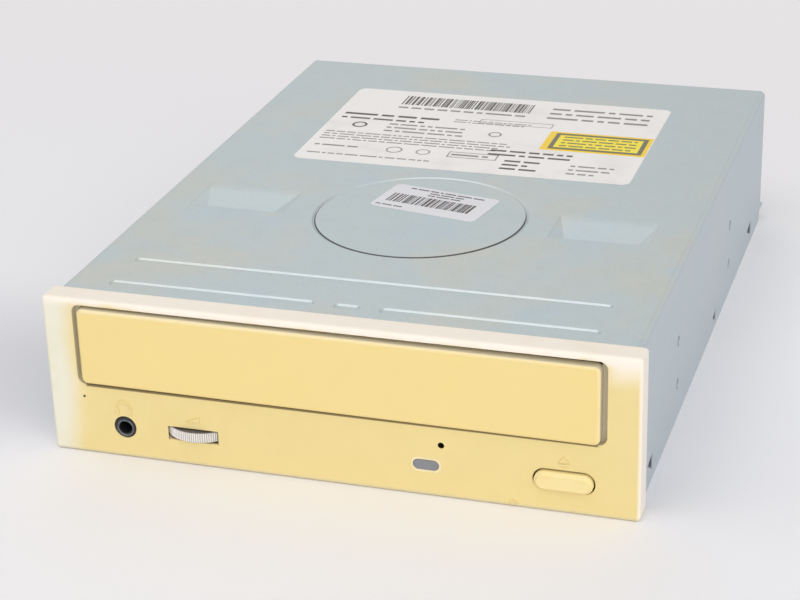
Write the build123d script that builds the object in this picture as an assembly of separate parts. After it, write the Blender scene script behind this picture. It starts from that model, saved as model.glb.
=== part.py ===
from build123d import *
import math
import os

# Half-height CD-ROM drive: steel case, moulded bezel, tray loader, disc clamp, lifting traverse and boards.

# Drawing frame: X to the right, Y from the bezel's front face towards the back, Z up from the base.
# Every piece is moved along Y at the end, so that the origin is at the middle of the base.

# Case
case_width = 146.0
case_height = 41.4
case_length = 188.0
sheet = 0.8
case_edge_r = 1.6
touch_gap = 0.05
free_gap = 0.3
slide_gap = 0.1
thread_gap = 0.02
cut_over = 0.01
screw_r = 1.5
screw_slot = 0.6
screw_slot_depth = 0.7

# Bezel
bezel_width = 149.0
bezel_height = 42.0
bezel_depth = 6.4
bezel_wall = 2.4
bezel_rim = 3.0
bezel_edge_r = 1.0
bezel_floor = 2.4
bezel_rib_drop = 3.0
bezel_rib_top = 1.0
lip_depth = 3.0
lip_wall = 1.5
lip_gap = 0.2

# Tray door and its recess in the bezel
recess_width = 133.0
recess_z0 = 19.1
recess_z1 = 40.4
recess_depth = 2.0
recess_r = 2.0
door_width = 130.0
door_z0 = 19.5
door_z1 = 39.5
door_proud = 1.1
door_r = 1.5
door_edge_r = 0.8
door_lean = 0.2
recess_step = 1.7

# Controls on the front
control_z = 8.4
jack_x = -54.8
jack_hole_r = 1.75
jack_barrel_r = 2.75
jack_body_width = 9.0
jack_body_height = 7.0
jack_depth = 13.0
jack_gap = 0.2
wheel_x = -36.65
wheel_r = 10.0
wheel_proud = 1.8
wheel_width = 2.8
wheel_grooves = 44
wheel_groove_r = 0.45
wheel_edge = 0.3
wheel_gap = 0.5
slot_height = 3.6
pinhole_x = 26.7
pinhole_z = 14.0
pinhole_r = 0.8
lamp_x = 22.9
lamp_width = 6.3
lamp_height = 2.5
lamp_collar = 1.6
button_x = 56.4
button_z = 8.5
button_width = 14.2
button_height = 5.0
button_gap = 0.4
button_proud = 1.5
button_flange = 1.3
button_edge = 0.8
button_stem = 3.0

# Moulded marks on the bezel
mark_height = 0.25
eject_mark_z = 13.5
eject_mark_width = 2.7
eject_mark_height = 1.5
eject_bar_z = 12.85
eject_bar_width = 2.2
eject_bar_height = 0.5
phones_mark_z = 13.5
phones_mark_r = 2.2
phones_mark_line = 0.5
phones_pad_width = 0.7
phones_pad_length = 1.6
volume_mark_x = -38.3
volume_mark_z = 12.1
volume_mark_length = 3.6
volume_mark_height = 1.5
volume_mark_line = 0.4
gate_mark_x = 44.25
gate_mark_z = 0.9
gate_mark_r = 1.1

# Stampings in the top of the cover
bead_depth = 0.45
bead_slope = 45.0
back_bead_y = 27.75
back_bead_width = 2.5
back_bead_half = 61.6
front_bead_y = 12.8
front_bead_width = 3.2
front_bead_outer = 62.0
front_bead_inner = 8.2
dimple_length = 6.7
dimple_width = 2.8
clamp_ring_x = 0.3
clamp_ring_r = 28.2
clamp_ring_width = 1.0
clamp_ring_depth = 0.4
pocket_x0 = 36.0
pocket_x1 = 63.0
pocket_y0 = 66.3
pocket_length = 16.0
pocket_depth = 1.7
pocket_front = 1.2
pocket_end = 4.5

# Labels on the cover
label_thickness = 0.1
label_width = 97.3
label_length = 63.5
label_x = 0.3
label_y = 138.75
label_r = 2.5
sticker_width = 31.2
sticker_length = 17.0
sticker_x = 1.3
sticker_y = 82.7
sticker_turn = -10.9
sticker_r = 1.5

# Screw holes of the standard bay, measured from the back of the bezel and from the base
bay_first_y = 47.4
bay_pitch_y = 79.25
bay_low_z = 10.0
bay_pitch_z = 11.84
bay_pitch_x = 139.7
bay_notch_half = 6.0
boss_width = 9.0
bore_depth = 5.0

# Lances in the cover's sides that lock the bottom plate, as (open end from the front, low, high, length)
side_lances = ((21.8, 2.2, 7.4, 6.4), (112.3, 1.5, 5.3, 5.6), (175.5, 1.8, 7.0, 9.0))
lance_depth = 2.2
lance_tip_drop = 1.4
lance_notch_side = 2.0

# Bottom plate
flange_height = 7.0
lug_length = 4.6
lug_width = 4.5
lug_z = 3.6
lug_notch_z = 4.0
standoff_r = 3.0
case_screw_x = 67.6
case_screw_ys = (34.0, 156.0)
case_head_r = 3.0
case_head_depth = 1.4
case_head_gap = 0.15
case_screw_length = 7.0
case_screw_bore = 7.5

# Boards
board_thickness = 1.6
board_z = 3.0
board_half = 62.5
front_board_y0 = 7.6
front_board_y1 = 25.0
main_board_y0 = 62.0
main_board_y1 = 193.0
board_screw_r = 1.2
board_screw_head_r = 2.4
board_screw_head = 1.2
board_screw_gap = 0.2

# Disc and tray
disc_y = 72.6
disc_r = 60.0
small_disc_r = 40.0
disc_gap = 0.6
disc_thickness = 1.2
tray_floor_z = 28.0
tray_floor = 2.0
tray_rim = 3.5
small_well_depth = 0.8
tray_half = 62.5
tray_back_y = 165.0
rim_back_y = 138.0
tray_slot_half = 23.0
skirt_wall = 2.0
skirt_depth = 2.0
runner_width = 1.8
runner_height = 2.0
runner_gap = 0.3
apron_wall = 2.5
apron_drop = 4.5
apron_rise = 6.5

# Main frame
wall = 2.0
frame_y0 = 10.0
frame_y1 = 172.0
frame_z0 = 6.5
frame_top_z = 33.6
deck_z = 16.5
deck_thickness = 1.5
deck_y1 = 43.4
ledge_thickness = 1.8
hold_down_ys = (20.0, 52.0, 108.0)
hold_down_length = 12.0
leg_half = 5.0
leg_rise = 4.0
hinge_half = 4.0
hinge_gap = 0.4
crossbar_y0 = 166.0
crossbar_z0 = 12.0
crossbar_z1 = 21.5

# Loader gears
rack_module = 1.0
rack_x = -50.0
rack_width = 4.0
rack_z0 = 22.6
rack_back = 160.0
pinion_teeth = 16
wheel_module = 0.7
wheel_teeth = 36
pulley_pinion_teeth = 12
drive_gear_y = 23.0
gear_post_r = 1.5
gear_fit = 0.05
gear_hub_r = 3.0
gear_under = 0.6
gear_post_short = 0.7
gear_post_over = 0.5
pulley_z = 18.3
pulley_height = 1.8
wheel_gear_z = 20.4
wheel_gear_height = 1.8
pulley_groove_r = 10.0
pulley_flange = 0.9
motor_groove_r = 2.3
motor_x = -1.5
motor_y = 24.0
motor_r = 10.0
motor_height = 9.6
motor_shaft_r = 0.75
motor_boss_r = 2.8
motor_boss_height = 1.2
motor_hole_r = 3.0
belt_size = 1.0
belt_gap = 0.1
backlash = 0.2
pressure_angle = 20.0

# Traverse that carries the motor and pickup, hinged at the back
pivot_y = 158.0
pivot_z = 19.0
pivot_r = 2.5
pivot_fit = 0.05
traverse_half = 36.0
traverse_y0 = 50.0
traverse_z0 = 17.0
traverse_z1 = 22.6
traverse_side = 7.0
traverse_back = 3.5
traverse_bar_y0 = 150.0
shelf_y1 = 84.5
traverse_tilt = 5.6
trunnion_length = 5.0
cam_pin_r = 1.5
cam_pin_gap = 0.4
cam_pin_z = 19.5
cam_pin_xs = (-26.0, 20.0)
cam_travel = 14.0
cam_wall = 2.0
cam_wall_y0 = 44.0
cam_foot_y0 = 37.4
cam_foot_height = 1.5
cam_over = 0.6
cam_ear_half = 5.0
cam_ear_front = 3.2
guide_post_r = 1.6
lever_x = 17.7
lever_y = 27.0
lever_arm = 12.0
lever_notch_side = 12.0
lever_notch_front = 2.5
lever_z = 13.2
lever_thickness = 2.0
lever_width = 4.6
lever_pin_r = 1.4
lever_pin_gap = 0.45
paddle_half = 1.5
paddle_front = 1.0
paddle_back = 0.8
paddle_drop = 2.5
paddle_y = 20.0

# Spindle and disc clamp
seat_z = 29.6
turntable_r = 15.5
turntable_height = 2.2
hub_r = 7.4
hub_height = 2.2
hub_cone = 0.8
hub_edge = 0.4
spindle_r = 1.0
spindle_motor_r = 12.5
spindle_motor_z0 = 16.4
spindle_motor_z1 = 26.6
spindle_flange = 2.5
spindle_step = 1.5
spindle_floor = 1.0
rubber_r0 = 11.8
rubber_height = 0.4
clamper_r = 14.0
clamper_flange_r = 18.0
clamper_flange = 1.4
clamper_neck_r = 13.7
clamper_hub_gap = 1.2
bridge_thickness = 1.2
bridge_length = 27.0
bridge_overhang = 1.6
bridge_middle = 41.0
bridge_rib_width = 1.0
bridge_rib_inset = 2.0
bridge_rib_x = 24.0
bridge_rib_height = 2.0
bridge_hole_r = 15.5
clamp_plate_r = 9.0
clamp_plate_hole_r = 2.0

# Pickup
pickup_travel = 35.0
pickup_y = 100.5
pickup_half = 20.5
pickup_length = 23.0
pickup_z0 = 17.4
pickup_z1 = 25.6
pickup_step = 2.4
pickup_shoulder = 3.0
pickup_shoe = 2.8
pickup_shoe_half = 2.2
pickup_shoe_inset = 2.0
pickup_pocket_x = 1.6
pickup_pocket_y = 1.0
rod_r = 1.5
rod_fit = 0.05
rod_x = 24.5
rod_z = 20.0
lens_r = 2.4
lens_rim = 0.8
lens_rim_height = 0.5
lens_seat = 0.9
lens_height = 1.7
lens_dome_r = 6.0
coil_thickness = 1.4
coil_half = 3.0
coil_inset = 0.2
holder_width = 9.0
holder_length = 12.0
holder_height = 2.6

# Connectors at the back of the main board
rear_cut_half = 70.5
rear_cut_z = 15.4
data_x = -10.0
data_width = 58.0
data_height = 9.0
data_depth = 10.0
data_wall = 1.2
data_notch = 4.4
data_pin_middle = 6.0
data_pin_length = 7.6
socket_floor = 2.5
data_pin_columns = 20
pin_pitch = 2.54
pin_size = 0.64
power_x = -54.0
power_width = 24.0
power_height = 10.6
power_depth = 15.0
power_pitch = 5.08
power_pin_r = 1.05
power_pin_inset = 5.5
power_wall = 1.4
jumper_x = 32.0
jumper_pin_length = 6.5
audio_x = 48.0
audio_width = 12.0
audio_height = 6.4
audio_depth = 9.0
audio_wall = 1.0
audio_pin_length = 6.0
connector_y = 193.8
board_screw_places = (
    (-58.0, 20.0), (58.0, 20.0), (-58.0, 72.0), (58.0, 72.0), (-58.0, 164.0), (58.0, 164.0)
)

# Switch, lamp and volume control on the front board
switch_y = 9.0
plunger_r = 1.2
plunger_length = 2.4
switch_size = 6.0
switch_back = 0.9
switch_depth = 4.5
switch_bore = 2.7
lamp_y = 8.4
lamp_body = 4.0
volume_shaft_r = 1.5
volume_shaft_rise = 0.6
volume_body = 11.0
volume_body_height = 1.6
bridge_screw_r = 0.9
bridge_screw_head = 1.4
bridge_screw_head_r = 2.2
guide_post_xs = (-22.0, 34.0)
magnet_r = 4.5
ribbon_x0 = -12.0
ribbon_x1 = 8.0

# Dampers and the pickup's drive on the traverse
damper_r = 4.4
damper_hole_r = 2.2
damper_screw_r = 1.2
damper_screw_head = 1.0
damper_lip = 0.6
damper_inset = 4.5
damper_back = 14.0
rod_cap = 0.5
rod_seat = 4.0
rod_seat_inner = 2.6
rod_y0 = 80.5
rod_y1 = 149.5
lens_y = 97.0
holder_z = 24.2
feed_module = 0.5
feed_y = 128.0
feed_rack_x = -27.6
feed_rack_z0 = 22.2
feed_rack_height = 1.7
feed_rack_back = 1.4
feed_notch_side = 1.2
feed_small_teeth = 14
feed_wheel_teeth = 30
feed_pinion_teeth = 10
feed_gear_z = 22.9
feed_small_height = 1.4
feed_wheel_height = 1.2
feed_post_r = 1.0
feed_shaft_r = 0.5
feed_motor_x = -33.2
feed_motor_r = 5.0
feed_motor_wall = 1.6
feed_motor_z0 = 12.5
feed_motor_z1 = 22.6

# Heights of the cam slider's tabs
cam_tab_margin = 7.0
cam_tab_z0 = 5.8
cam_tab_z1 = 23.2

# Chips as (x, y, width, length, height)
chip_edge = 0.25
chip_places = (
    (-18.0, 128.0, 20.0, 20.0, 1.6),
    (22.0, 132.0, 14.0, 20.0, 1.6),
    (-20.0, 158.0, 18.0, 11.0, 2.0),
    (14.0, 160.0, 12.0, 12.0, 1.6),
    (44.0, 150.0, 9.0, 7.0, 1.6),
    (-44.0, 132.0, 8.0, 6.0, 1.6),
    (38.0, 110.0, 11.0, 7.0, 1.6),
)


def block(x0, x1, y0, y1, z0, z1):
    """A block between two opposite corners."""
    return Pos((x0 + x1) / 2, (y0 + y1) / 2, (z0 + z1) / 2) * Box(x1 - x0, y1 - y0, z1 - z0)


def post(x, y, z0, z1, r):
    """An upright round post."""
    return Pos(x, y, (z0 + z1) / 2) * Cylinder(r, z1 - z0)


def cross_slots(x, y, z0, z1, head_r):
    """The crossed slots in a screw's head, between two heights."""
    reach = head_r - screw_slot
    half = screw_slot / 2
    arm = block(x - reach, x + reach, y - half, y + half, z0, z1)
    return arm + block(x - half, x + half, y - reach, y + reach, z0, z1)


def rod_along_x(y, z, x0, x1, r):
    """A round rod that lies along X."""
    return Pos((x0 + x1) / 2, y, z) * Rot(0, 90, 0) * Cylinder(r, abs(x1 - x0))


def rod_along_y(x, z, y0, y1, r):
    """A round rod that lies along Y."""
    return Pos(x, (y0 + y1) / 2, z) * Rot(90, 0, 0) * Cylinder(r, y1 - y0)


def front_prism(sketch, x, z, y0, y1):
    """A sketch seen from the front, carried from depth y0 to y1."""
    return Pos(x, y1, z) * Rot(90, 0, 0) * extrude(sketch, y1 - y0)


def top_prism(sketch, x, y, z0, z1):
    """A sketch seen from above, carried from height z0 to z1."""
    return Pos(x, y, z0) * extrude(sketch, z1 - z0)


def involute(angle):
    """The involute function of a pressure angle in radians."""
    return math.tan(angle) - angle


def gear(teeth, module, height, phase=0.0):
    """A spur gear on the XY plane with one tooth at the angle phase, in degrees."""
    pitch_r = module * teeth / 2
    base_r = pitch_r * math.cos(math.radians(pressure_angle))
    tip_r = pitch_r + 0.8 * module
    root_r = pitch_r - 1.1 * module
    low_r = max(base_r, root_r)
    half_pitch = (math.pi * module - backlash) / (4 * pitch_r)
    pitch_inv = involute(math.radians(pressure_angle))
    flank = []
    for step in range(3):
        r = low_r + (tip_r - low_r) * step / 2
        flank.append((r, half_pitch + pitch_inv - involute(math.acos(min(1.0, base_r / r)))))
    if root_r < low_r:
        flank.insert(0, (root_r, flank[0][1]))
    points = []
    for tooth in range(teeth):
        centre = math.radians(phase) + 2 * math.pi * tooth / teeth
        for r, half in flank:
            points.append((r * math.cos(centre - half), r * math.sin(centre - half)))
        for r, half in reversed(flank):
            points.append((r * math.cos(centre + half), r * math.sin(centre + half)))
    return extrude(make_face(Polyline(*points, close=True)), height)


def rack(module, y0, y1, tooth_y, height, back, side):
    """Rack along Y on the XY plane, one tooth centred at tooth_y, teeth towards +X or -X as side says."""
    pitch = math.pi * module
    half_low = (pitch / 2 - backlash) / 2 + 1.1 * module * math.tan(math.radians(pressure_angle))
    half_high = (pitch / 2 - backlash) / 2 - 0.8 * module * math.tan(math.radians(pressure_angle))
    root_x = -1.1 * module * side
    tip_x = 0.8 * module * side
    first = math.ceil((y0 + half_low - tooth_y) / pitch)
    last = math.floor((y1 - half_low - tooth_y) / pitch)
    points = [(root_x, y0)]
    for index in range(first, last + 1):
        centre = tooth_y + index * pitch
        points += [(root_x, centre - half_low), (tip_x, centre - half_high)]
        points += [(tip_x, centre + half_high), (root_x, centre + half_low)]
    points += [(root_x, y1), (-back * side, y1), (-back * side, y0)]
    return extrude(make_face(Polyline(*points, close=True)), height)


# Places that several pieces share
case_y0 = bezel_depth
case_y1 = bezel_depth + case_length
half_case = case_width / 2
half_inside = half_case - sheet
roof_z = case_height - sheet
bay_ys = (case_y0 + bay_first_y, case_y0 + bay_first_y + bay_pitch_y)
bay_zs = (bay_low_z, bay_low_z + bay_pitch_z)
board_top = board_z + board_thickness
opening_half = recess_width / 2 - recess_step
opening_z0 = recess_z0 + recess_step - 0.2
opening_z1 = recess_z1 - 1.0
plate_z = tray_floor_z - tray_floor
rim_z = tray_floor_z + tray_rim
well_r = disc_r + disc_gap
tray_front_y = recess_depth - 0.1
skirt_z = plate_z - skirt_depth
runner_half = tray_half + runner_width
wall_x = runner_half + 0.4
wall_out = wall_x + wall
ledge_x = tray_half + 0.5
ledge_top = skirt_z - runner_gap
deck_top = deck_z + deck_thickness
rack_pitch_r = rack_module * pinion_teeth / 2
drive_gear_x = rack_x + rack_pitch_r
gear_distance = wheel_module * (wheel_teeth + pulley_pinion_teeth) / 2
pulley_x = drive_gear_x + gear_distance
cam_wall_y1 = cam_wall_y0 + cam_wall
cam_foot_z = deck_top + free_gap
guide_post_y = cam_foot_y0 + guide_post_r + cam_foot_height
cam_drop = (pivot_y - cam_wall_y0 - 1.0) * math.sin(math.radians(traverse_tilt))
turntable_z0 = seat_z - turntable_height
clamper_z = seat_z + disc_thickness + free_gap
bridge_top = frame_top_z + bridge_thickness
bridge_screw_x = wall_x + wall / 2
lever_pin_x = lever_x + cam_travel / 2
lever_pin_y = lever_y + math.sqrt(lever_arm**2 - (cam_travel / 2) ** 2)
cam_foot_x0 = cam_pin_xs[0] - cam_tab_margin
cam_foot_x1 = guide_post_xs[1] + cam_travel + 4.0
feed_small_r = feed_module * feed_small_teeth / 2
feed_gear_x = feed_rack_x - feed_small_r
feed_distance = feed_module * (feed_wheel_teeth + feed_pinion_teeth) / 2
feed_motor_y = feed_y - math.sqrt(feed_distance**2 - (feed_gear_x - feed_motor_x) ** 2)
feed_angle = math.degrees(math.atan2(feed_motor_y - feed_y, feed_motor_x - feed_gear_x))
feed_wheel_z = feed_gear_z + feed_small_height
feed_rack_y0 = feed_y - pickup_travel - 3.0
feed_rack_y1 = feed_y + 3.0


def rounded_box(width, depth, height, edge_r):
    """A block with every edge rounded."""
    return fillet(Box(width, depth, height).edges(), edge_r)


def bead_places():
    """The sunk beads of the cover's top, as (middle, distance from the front, length, width)."""
    half_sum = (front_bead_inner + front_bead_outer) / 2
    length = front_bead_outer - front_bead_inner
    return (
        (0.0, back_bead_y, 2 * back_bead_half, back_bead_width),
        (-half_sum, front_bead_y, length, front_bead_width),
        (half_sum, front_bead_y, length, front_bead_width),
        (0.0, front_bead_y, dimple_length, dimple_width),
    )


def bead_walls():
    """The metal round each bead, lower than the roof by the bead's depth."""
    walls = []
    for x, y, length, width in bead_places():
        shape = SlotOverall(length + 2 * sheet, width + 2 * sheet)
        walls.append(top_prism(shape, x, y, roof_z - bead_depth, case_height))
    return walls


def bead_cuts():
    """The hollow of each bead, with sloping sides that are cut a little above the roof too."""
    run = bead_depth * math.tan(math.radians(bead_slope))
    cuts = []
    for x, y, length, width in bead_places():
        floor = SlotOverall(length - 2 * run, width - 2 * run)
        cut = extrude(floor, bead_depth + sheet, taper=-bead_slope)
        cuts.append(Pos(x, y, case_height - bead_depth) * cut)
    return cuts


def clamp_ring():
    """The V-shaped ring groove pressed round the clamp."""
    half = clamp_ring_width / 2
    top = case_height + sheet
    profile = Polyline(
        (clamp_ring_r - half, case_height),
        (clamp_ring_r, case_height - clamp_ring_depth),
        (clamp_ring_r + half, case_height),
        (clamp_ring_r + half, top),
        (clamp_ring_r - half, top),
        close=True,
    )
    return Pos(clamp_ring_x, disc_y, 0) * revolve(Plane.XZ * make_face(profile), Axis.Z)


def lance(y1, z0, z1, length, grow):
    """A three-cornered dent pressed into the right side from its tip in front to its open end at the back."""
    x = half_case + (0.0 if grow else cut_over)
    tip = Vector(x, y1 - length - grow, z1 - lance_tip_drop)
    high = Vector(x, y1, z1 + grow)
    low = Vector(x, y1, z0 - grow)
    deep = Vector(half_case - lance_depth - grow, y1, z1 - lance_tip_drop)
    faces = ((tip, high, low), (tip, high, deep), (tip, low, deep), (high, low, deep))
    return Solid(Shell([Face(Wire.make_polygon(corners)) for corners in faces]))


def pocket(grow):
    """A sunk ramp in the cover's top: steep at the front, rising gently to the back, with slanting ends."""
    x0, x1 = pocket_x0 - grow, pocket_x1 + grow
    y0, y1 = pocket_y0 - grow, pocket_y0 + pocket_length + grow
    z1 = case_height + (0.0 if grow else cut_over)
    z0 = case_height - pocket_depth - grow
    deep_y = pocket_y0 + pocket_front
    rim = [Vector(x, y, z1) for x, y in ((x0, y0), (x1, y0), (x1, y1), (x0, y1))]
    low = [Vector(x, deep_y, z0) for x in (x0 + pocket_end, x1 - pocket_end)]
    faces = [
        (rim[0], rim[1], rim[2], rim[3]),
        (rim[0], rim[1], low[1], low[0]),
        (rim[3], rim[2], low[1], low[0]),
        (rim[0], rim[3], low[0]),
        (rim[1], rim[2], low[1]),
    ]
    return Solid(Shell([Face(Wire.make_polygon(corners)) for corners in faces]))


def make_cover():
    """Steel cover: top, both sides and the back wall in one bent and stamped sheet."""
    outside = block(-half_case, half_case, case_y0, case_y1, 0.0, case_height)
    long_edges = outside.edges().filter_by(Axis.Y).group_by(Axis.Z)[-1]
    body = fillet(long_edges, case_edge_r)
    inside = block(-half_inside, half_inside, case_y0 - 1.0, case_y1 - sheet, -1.0, roof_z)
    inside = fillet(inside.edges().filter_by(Axis.Y).group_by(Axis.Z)[-1], case_edge_r - sheet)
    body -= inside
    for wall_shape in bead_walls():
        body += wall_shape
    for cut in bead_cuts():
        body -= cut
    body -= clamp_ring()
    body += pocket(sheet) + mirror(pocket(sheet), Plane.YZ)
    body -= pocket(0.0) + mirror(pocket(0.0), Plane.YZ)
    for y, z0, z1, length in side_lances:
        dent = lance(y, z0, z1, length, sheet)
        hollow = lance(y, z0, z1, length, 0.0)
        body += dent + mirror(dent, Plane.YZ)
        body -= hollow + mirror(hollow, Plane.YZ)
    notch_y0 = case_y1 - 2 * sheet
    body -= block(-rear_cut_half, rear_cut_half, notch_y0, case_y1 + 1.0, -1.0, rear_cut_z)
    body -= block(rear_cut_half - 1.0, half_case + 1.0, notch_y0, case_y1 + 1.0, -1.0, lug_notch_z)
    for y in bay_ys:
        for z in bay_zs:
            body -= rod_along_x(y, z, -half_case - 1.0, half_case + 1.0, screw_r)
    return body


def make_bottom_plate():
    """Steel base plate: side flanges notched for the lances, board standoffs, screw dimples, rear lug."""
    inner = half_inside - sheet
    plate = block(-half_inside, half_inside, case_y0 + touch_gap, case_y1 - sheet, 0.0, sheet)
    y_start = case_y0 + lip_depth + 1.0
    for side in (-1, 1):
        flange = block(inner, half_inside, y_start, case_y1 - 2 * sheet, sheet, flange_height)
        notches = [(y - bay_notch_half, y + bay_notch_half) for y in bay_ys]
        for y, z0, z1, length in side_lances:
            notches.append((y - length - lance_notch_side, y + lance_notch_side))
        for y0, y1 in notches:
            flange -= block(inner - 1.0, half_inside + 1.0, y0, y1, sheet, flange_height + 1.0)
        plate += flange if side > 0 else mirror(flange, Plane.YZ)
    plate += block(-rear_cut_half, rear_cut_half, case_y1 - 2 * sheet, case_y1 - sheet, sheet, board_z)
    lug_x0 = half_case - lug_width
    plate += block(lug_x0, half_inside, case_y1 - 2 * sheet, case_y1 - sheet, sheet, lug_z)
    plate += block(lug_x0, half_case, case_y1 - 2 * sheet, case_y1 + lug_length, lug_z - sheet, lug_z)
    for x, y in board_screw_places:
        plate += post(x, y, 0.0, board_z, standoff_r)
        plate -= post(x, y, -1.0, board_z + 1.0, board_screw_r)
    for side in (-1, 1):
        for y in case_screw_ys:
            x = side * case_screw_x
            plate += post(x, y, 0.0, case_head_depth + sheet, case_head_r + sheet)
            plate -= post(x, y, -1.0, case_head_depth, case_head_r + case_head_gap)
            plate -= post(x, y, -1.0, case_head_depth + 2 * sheet, screw_r + case_head_gap)
        for y in bay_ys:
            plate -= post(side * bay_pitch_x / 2, y, -1.0, sheet + 1.0, screw_r)
    return plate


def make_case_screws():
    """Four screws that hold the base plate to the main frame."""
    screws = []
    for side in (-1, 1):
        for y in case_screw_ys:
            x = side * case_screw_x
            screw = post(x, y, case_head_gap, case_head_depth, case_head_r)
            screw += post(x, y, case_head_depth, case_head_depth + case_screw_length, screw_r)
            slots = cross_slots(x, y, 0.0, case_head_gap + screw_slot_depth, case_head_r)
            screws.append(screw - slots)
    return screws


def front_marks():
    """Low moulded marks on the bezel as (outline, x, z): eject, headphones, volume and the gate's mark."""
    half = eject_mark_width / 2
    triangle = make_face(Polyline((-half, 0), (half, 0), (0, eject_mark_height), close=True))
    arc = Circle(phones_mark_r) - Circle(phones_mark_r - phones_mark_line)
    arc -= Pos(0, -phones_mark_r) * Rectangle(2 * phones_mark_r, 2 * phones_pad_length)
    pad = SlotOverall(phones_pad_length, phones_pad_width, rotation=90)
    pad_x = phones_mark_r - phones_mark_line / 2 - phones_pad_width / 2
    wedge = Polyline((0, 0), (volume_mark_length, 0), (volume_mark_length, volume_mark_height), close=True)
    gate = Circle(gate_mark_r) - Circle(gate_mark_r - volume_mark_line)
    return (
        (triangle, button_x, eject_mark_z),
        (Rectangle(eject_bar_width, eject_bar_height), button_x, eject_bar_z),
        (arc, jack_x, phones_mark_z),
        (pad, jack_x - pad_x, phones_mark_z - phones_pad_length / 2),
        (pad, jack_x + pad_x, phones_mark_z - phones_pad_length / 2),
        (make_face(wedge), volume_mark_x, volume_mark_z),
        (gate, gate_mark_x, gate_mark_z),
    )


def make_bezel():
    """Moulded front: thin wall with a rim, the door's recess, the controls' openings and a lip behind."""
    half = bezel_width / 2
    inside = half - bezel_rim
    through = bezel_wall + 1.0
    body = rounded_box(bezel_width, 2 * bezel_depth, bezel_height, bezel_edge_r)
    body = Pos(0, bezel_depth, bezel_height / 2) * body
    body -= block(-half - 1.0, half + 1.0, bezel_depth, 3 * bezel_depth, -1.0, bezel_height + 1.0)
    body -= block(-inside, inside, bezel_wall, bezel_depth + 1.0, bezel_floor, bezel_height - bezel_rim)
    rib_z0 = opening_z0 - bezel_rib_drop
    body += block(-inside, inside, bezel_wall, bezel_wall + recess_step, rib_z0, bezel_height - bezel_rib_top)
    recess = RectangleRounded(recess_width, recess_z1 - recess_z0, recess_r)
    body -= front_prism(recess, 0, (recess_z0 + recess_z1) / 2, -1.0, recess_depth)
    body -= block(-opening_half, opening_half, -1.0, bezel_depth + 1.0, opening_z0, opening_z1)
    body += bezel_lip()
    body -= rod_along_y(jack_x, control_z, -1.0, through, jack_barrel_r + jack_gap)
    slot_z0 = control_z - slot_height / 2
    body -= post(wheel_x, wheel_r - wheel_proud, slot_z0, slot_z0 + slot_height, wheel_r + wheel_gap)
    body -= rod_along_y(pinhole_x, pinhole_z, -1.0, through, pinhole_r)
    window = SlotOverall(lamp_width + 2 * slide_gap, lamp_height + 2 * slide_gap)
    body -= front_prism(window, lamp_x, control_z, -1.0, through)
    hole = SlotOverall(button_width + 2 * button_gap, button_height + 2 * button_gap)
    body -= front_prism(hole, button_x, button_z, -1.0, through)
    for outline, x, z in front_marks():
        mark = front_prism(outline, x, z, -mark_height, free_gap)
        body += mark & block(-half, half, -1.0, free_gap, bezel_edge_r, bezel_height)
    return body


def bezel_lip():
    """The frame behind the bezel that slips into the mouth of the case."""
    lip_half = half_inside - lip_gap
    z0 = sheet + lip_gap
    z1 = roof_z - lip_gap
    lip_y1 = bezel_depth + lip_depth
    lip = block(-lip_half, lip_half, bezel_depth, lip_y1, z0, z1)
    lip = fillet(lip.edges().filter_by(Axis.Y), case_edge_r - sheet + lip_gap)
    hollow_half = lip_half - lip_wall
    return lip - block(-hollow_half, hollow_half, 0.0, lip_y1 + 1.0, z0 + lip_wall, z1 - lip_wall)


def make_tray_door():
    """Door plate on the front of the tray, with softly rounded edges, hung very slightly out of level."""
    height = door_z1 - door_z0
    plate = extrude(RectangleRounded(door_width, height, door_r), door_proud + tray_front_y)
    front = plate.edges().group_by(Axis.Z)[-1]
    plate = Rot(90, 0, 0) * fillet(front, door_edge_r)
    return Pos(0, tray_front_y, (door_z0 + door_z1) / 2) * Rot(0, door_lean, 0) * plate


def make_eject_button():
    """Pill-shaped button with a crowned front, a flange behind the bezel and a stem to the switch."""
    cap_depth = bezel_wall + free_gap + button_proud
    cap = extrude(SlotOverall(button_width, button_height), cap_depth)
    cap = chamfer(cap.edges().group_by(Axis.Z)[-1], button_edge)
    y = bezel_wall + free_gap
    body = Pos(button_x, y, button_z) * Rot(90, 0, 0) * cap
    flange = RectangleRounded(button_width + 2 * bezel_wall, button_height + bezel_wall, button_edge)
    body += front_prism(flange, button_x, button_z, y, y + button_flange)
    stem = Rectangle(button_stem, button_stem - button_edge)
    return body + front_prism(stem, button_x, control_z, y + button_flange, switch_y - free_gap)


def make_lamp_window():
    """Clear light guide that fills the pill-shaped window, with a collar behind the bezel's wall."""
    collar_y1 = bezel_wall + lamp_collar
    window = SlotOverall(lamp_width, lamp_height)
    collar = SlotOverall(lamp_width + lamp_collar, lamp_height + lamp_collar)
    guide = SlotOverall(lamp_width - lamp_collar, lamp_height - 2 * slide_gap)
    body = front_prism(window, lamp_x, control_z, -slide_gap, bezel_wall)
    body += front_prism(collar, lamp_x, control_z, bezel_wall, collar_y1)
    return body + front_prism(guide, lamp_x, control_z, collar_y1, lamp_y)


def make_lamp():
    """The lamp behind the window, lying on the front board."""
    half = lamp_body / 2
    y0 = lamp_y + free_gap
    return block(lamp_x - half, lamp_x + half, y0, y0 + lamp_body, board_top, control_z + lamp_collar)


def make_headphone_jack():
    """3.5 mm socket: a moulded body on the front board, with a barrel in the bezel's hole."""
    half = jack_body_width / 2
    y0, y1 = bezel_wall + jack_gap, bezel_wall + jack_depth
    body = block(jack_x - half, jack_x + half, y0, y1, board_top, board_top + jack_body_height)
    body += rod_along_y(jack_x, control_z, slide_gap, bezel_wall + 1.0, jack_barrel_r)
    body -= rod_along_y(jack_x, control_z, -1.0, jack_depth, jack_hole_r)
    return body


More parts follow.
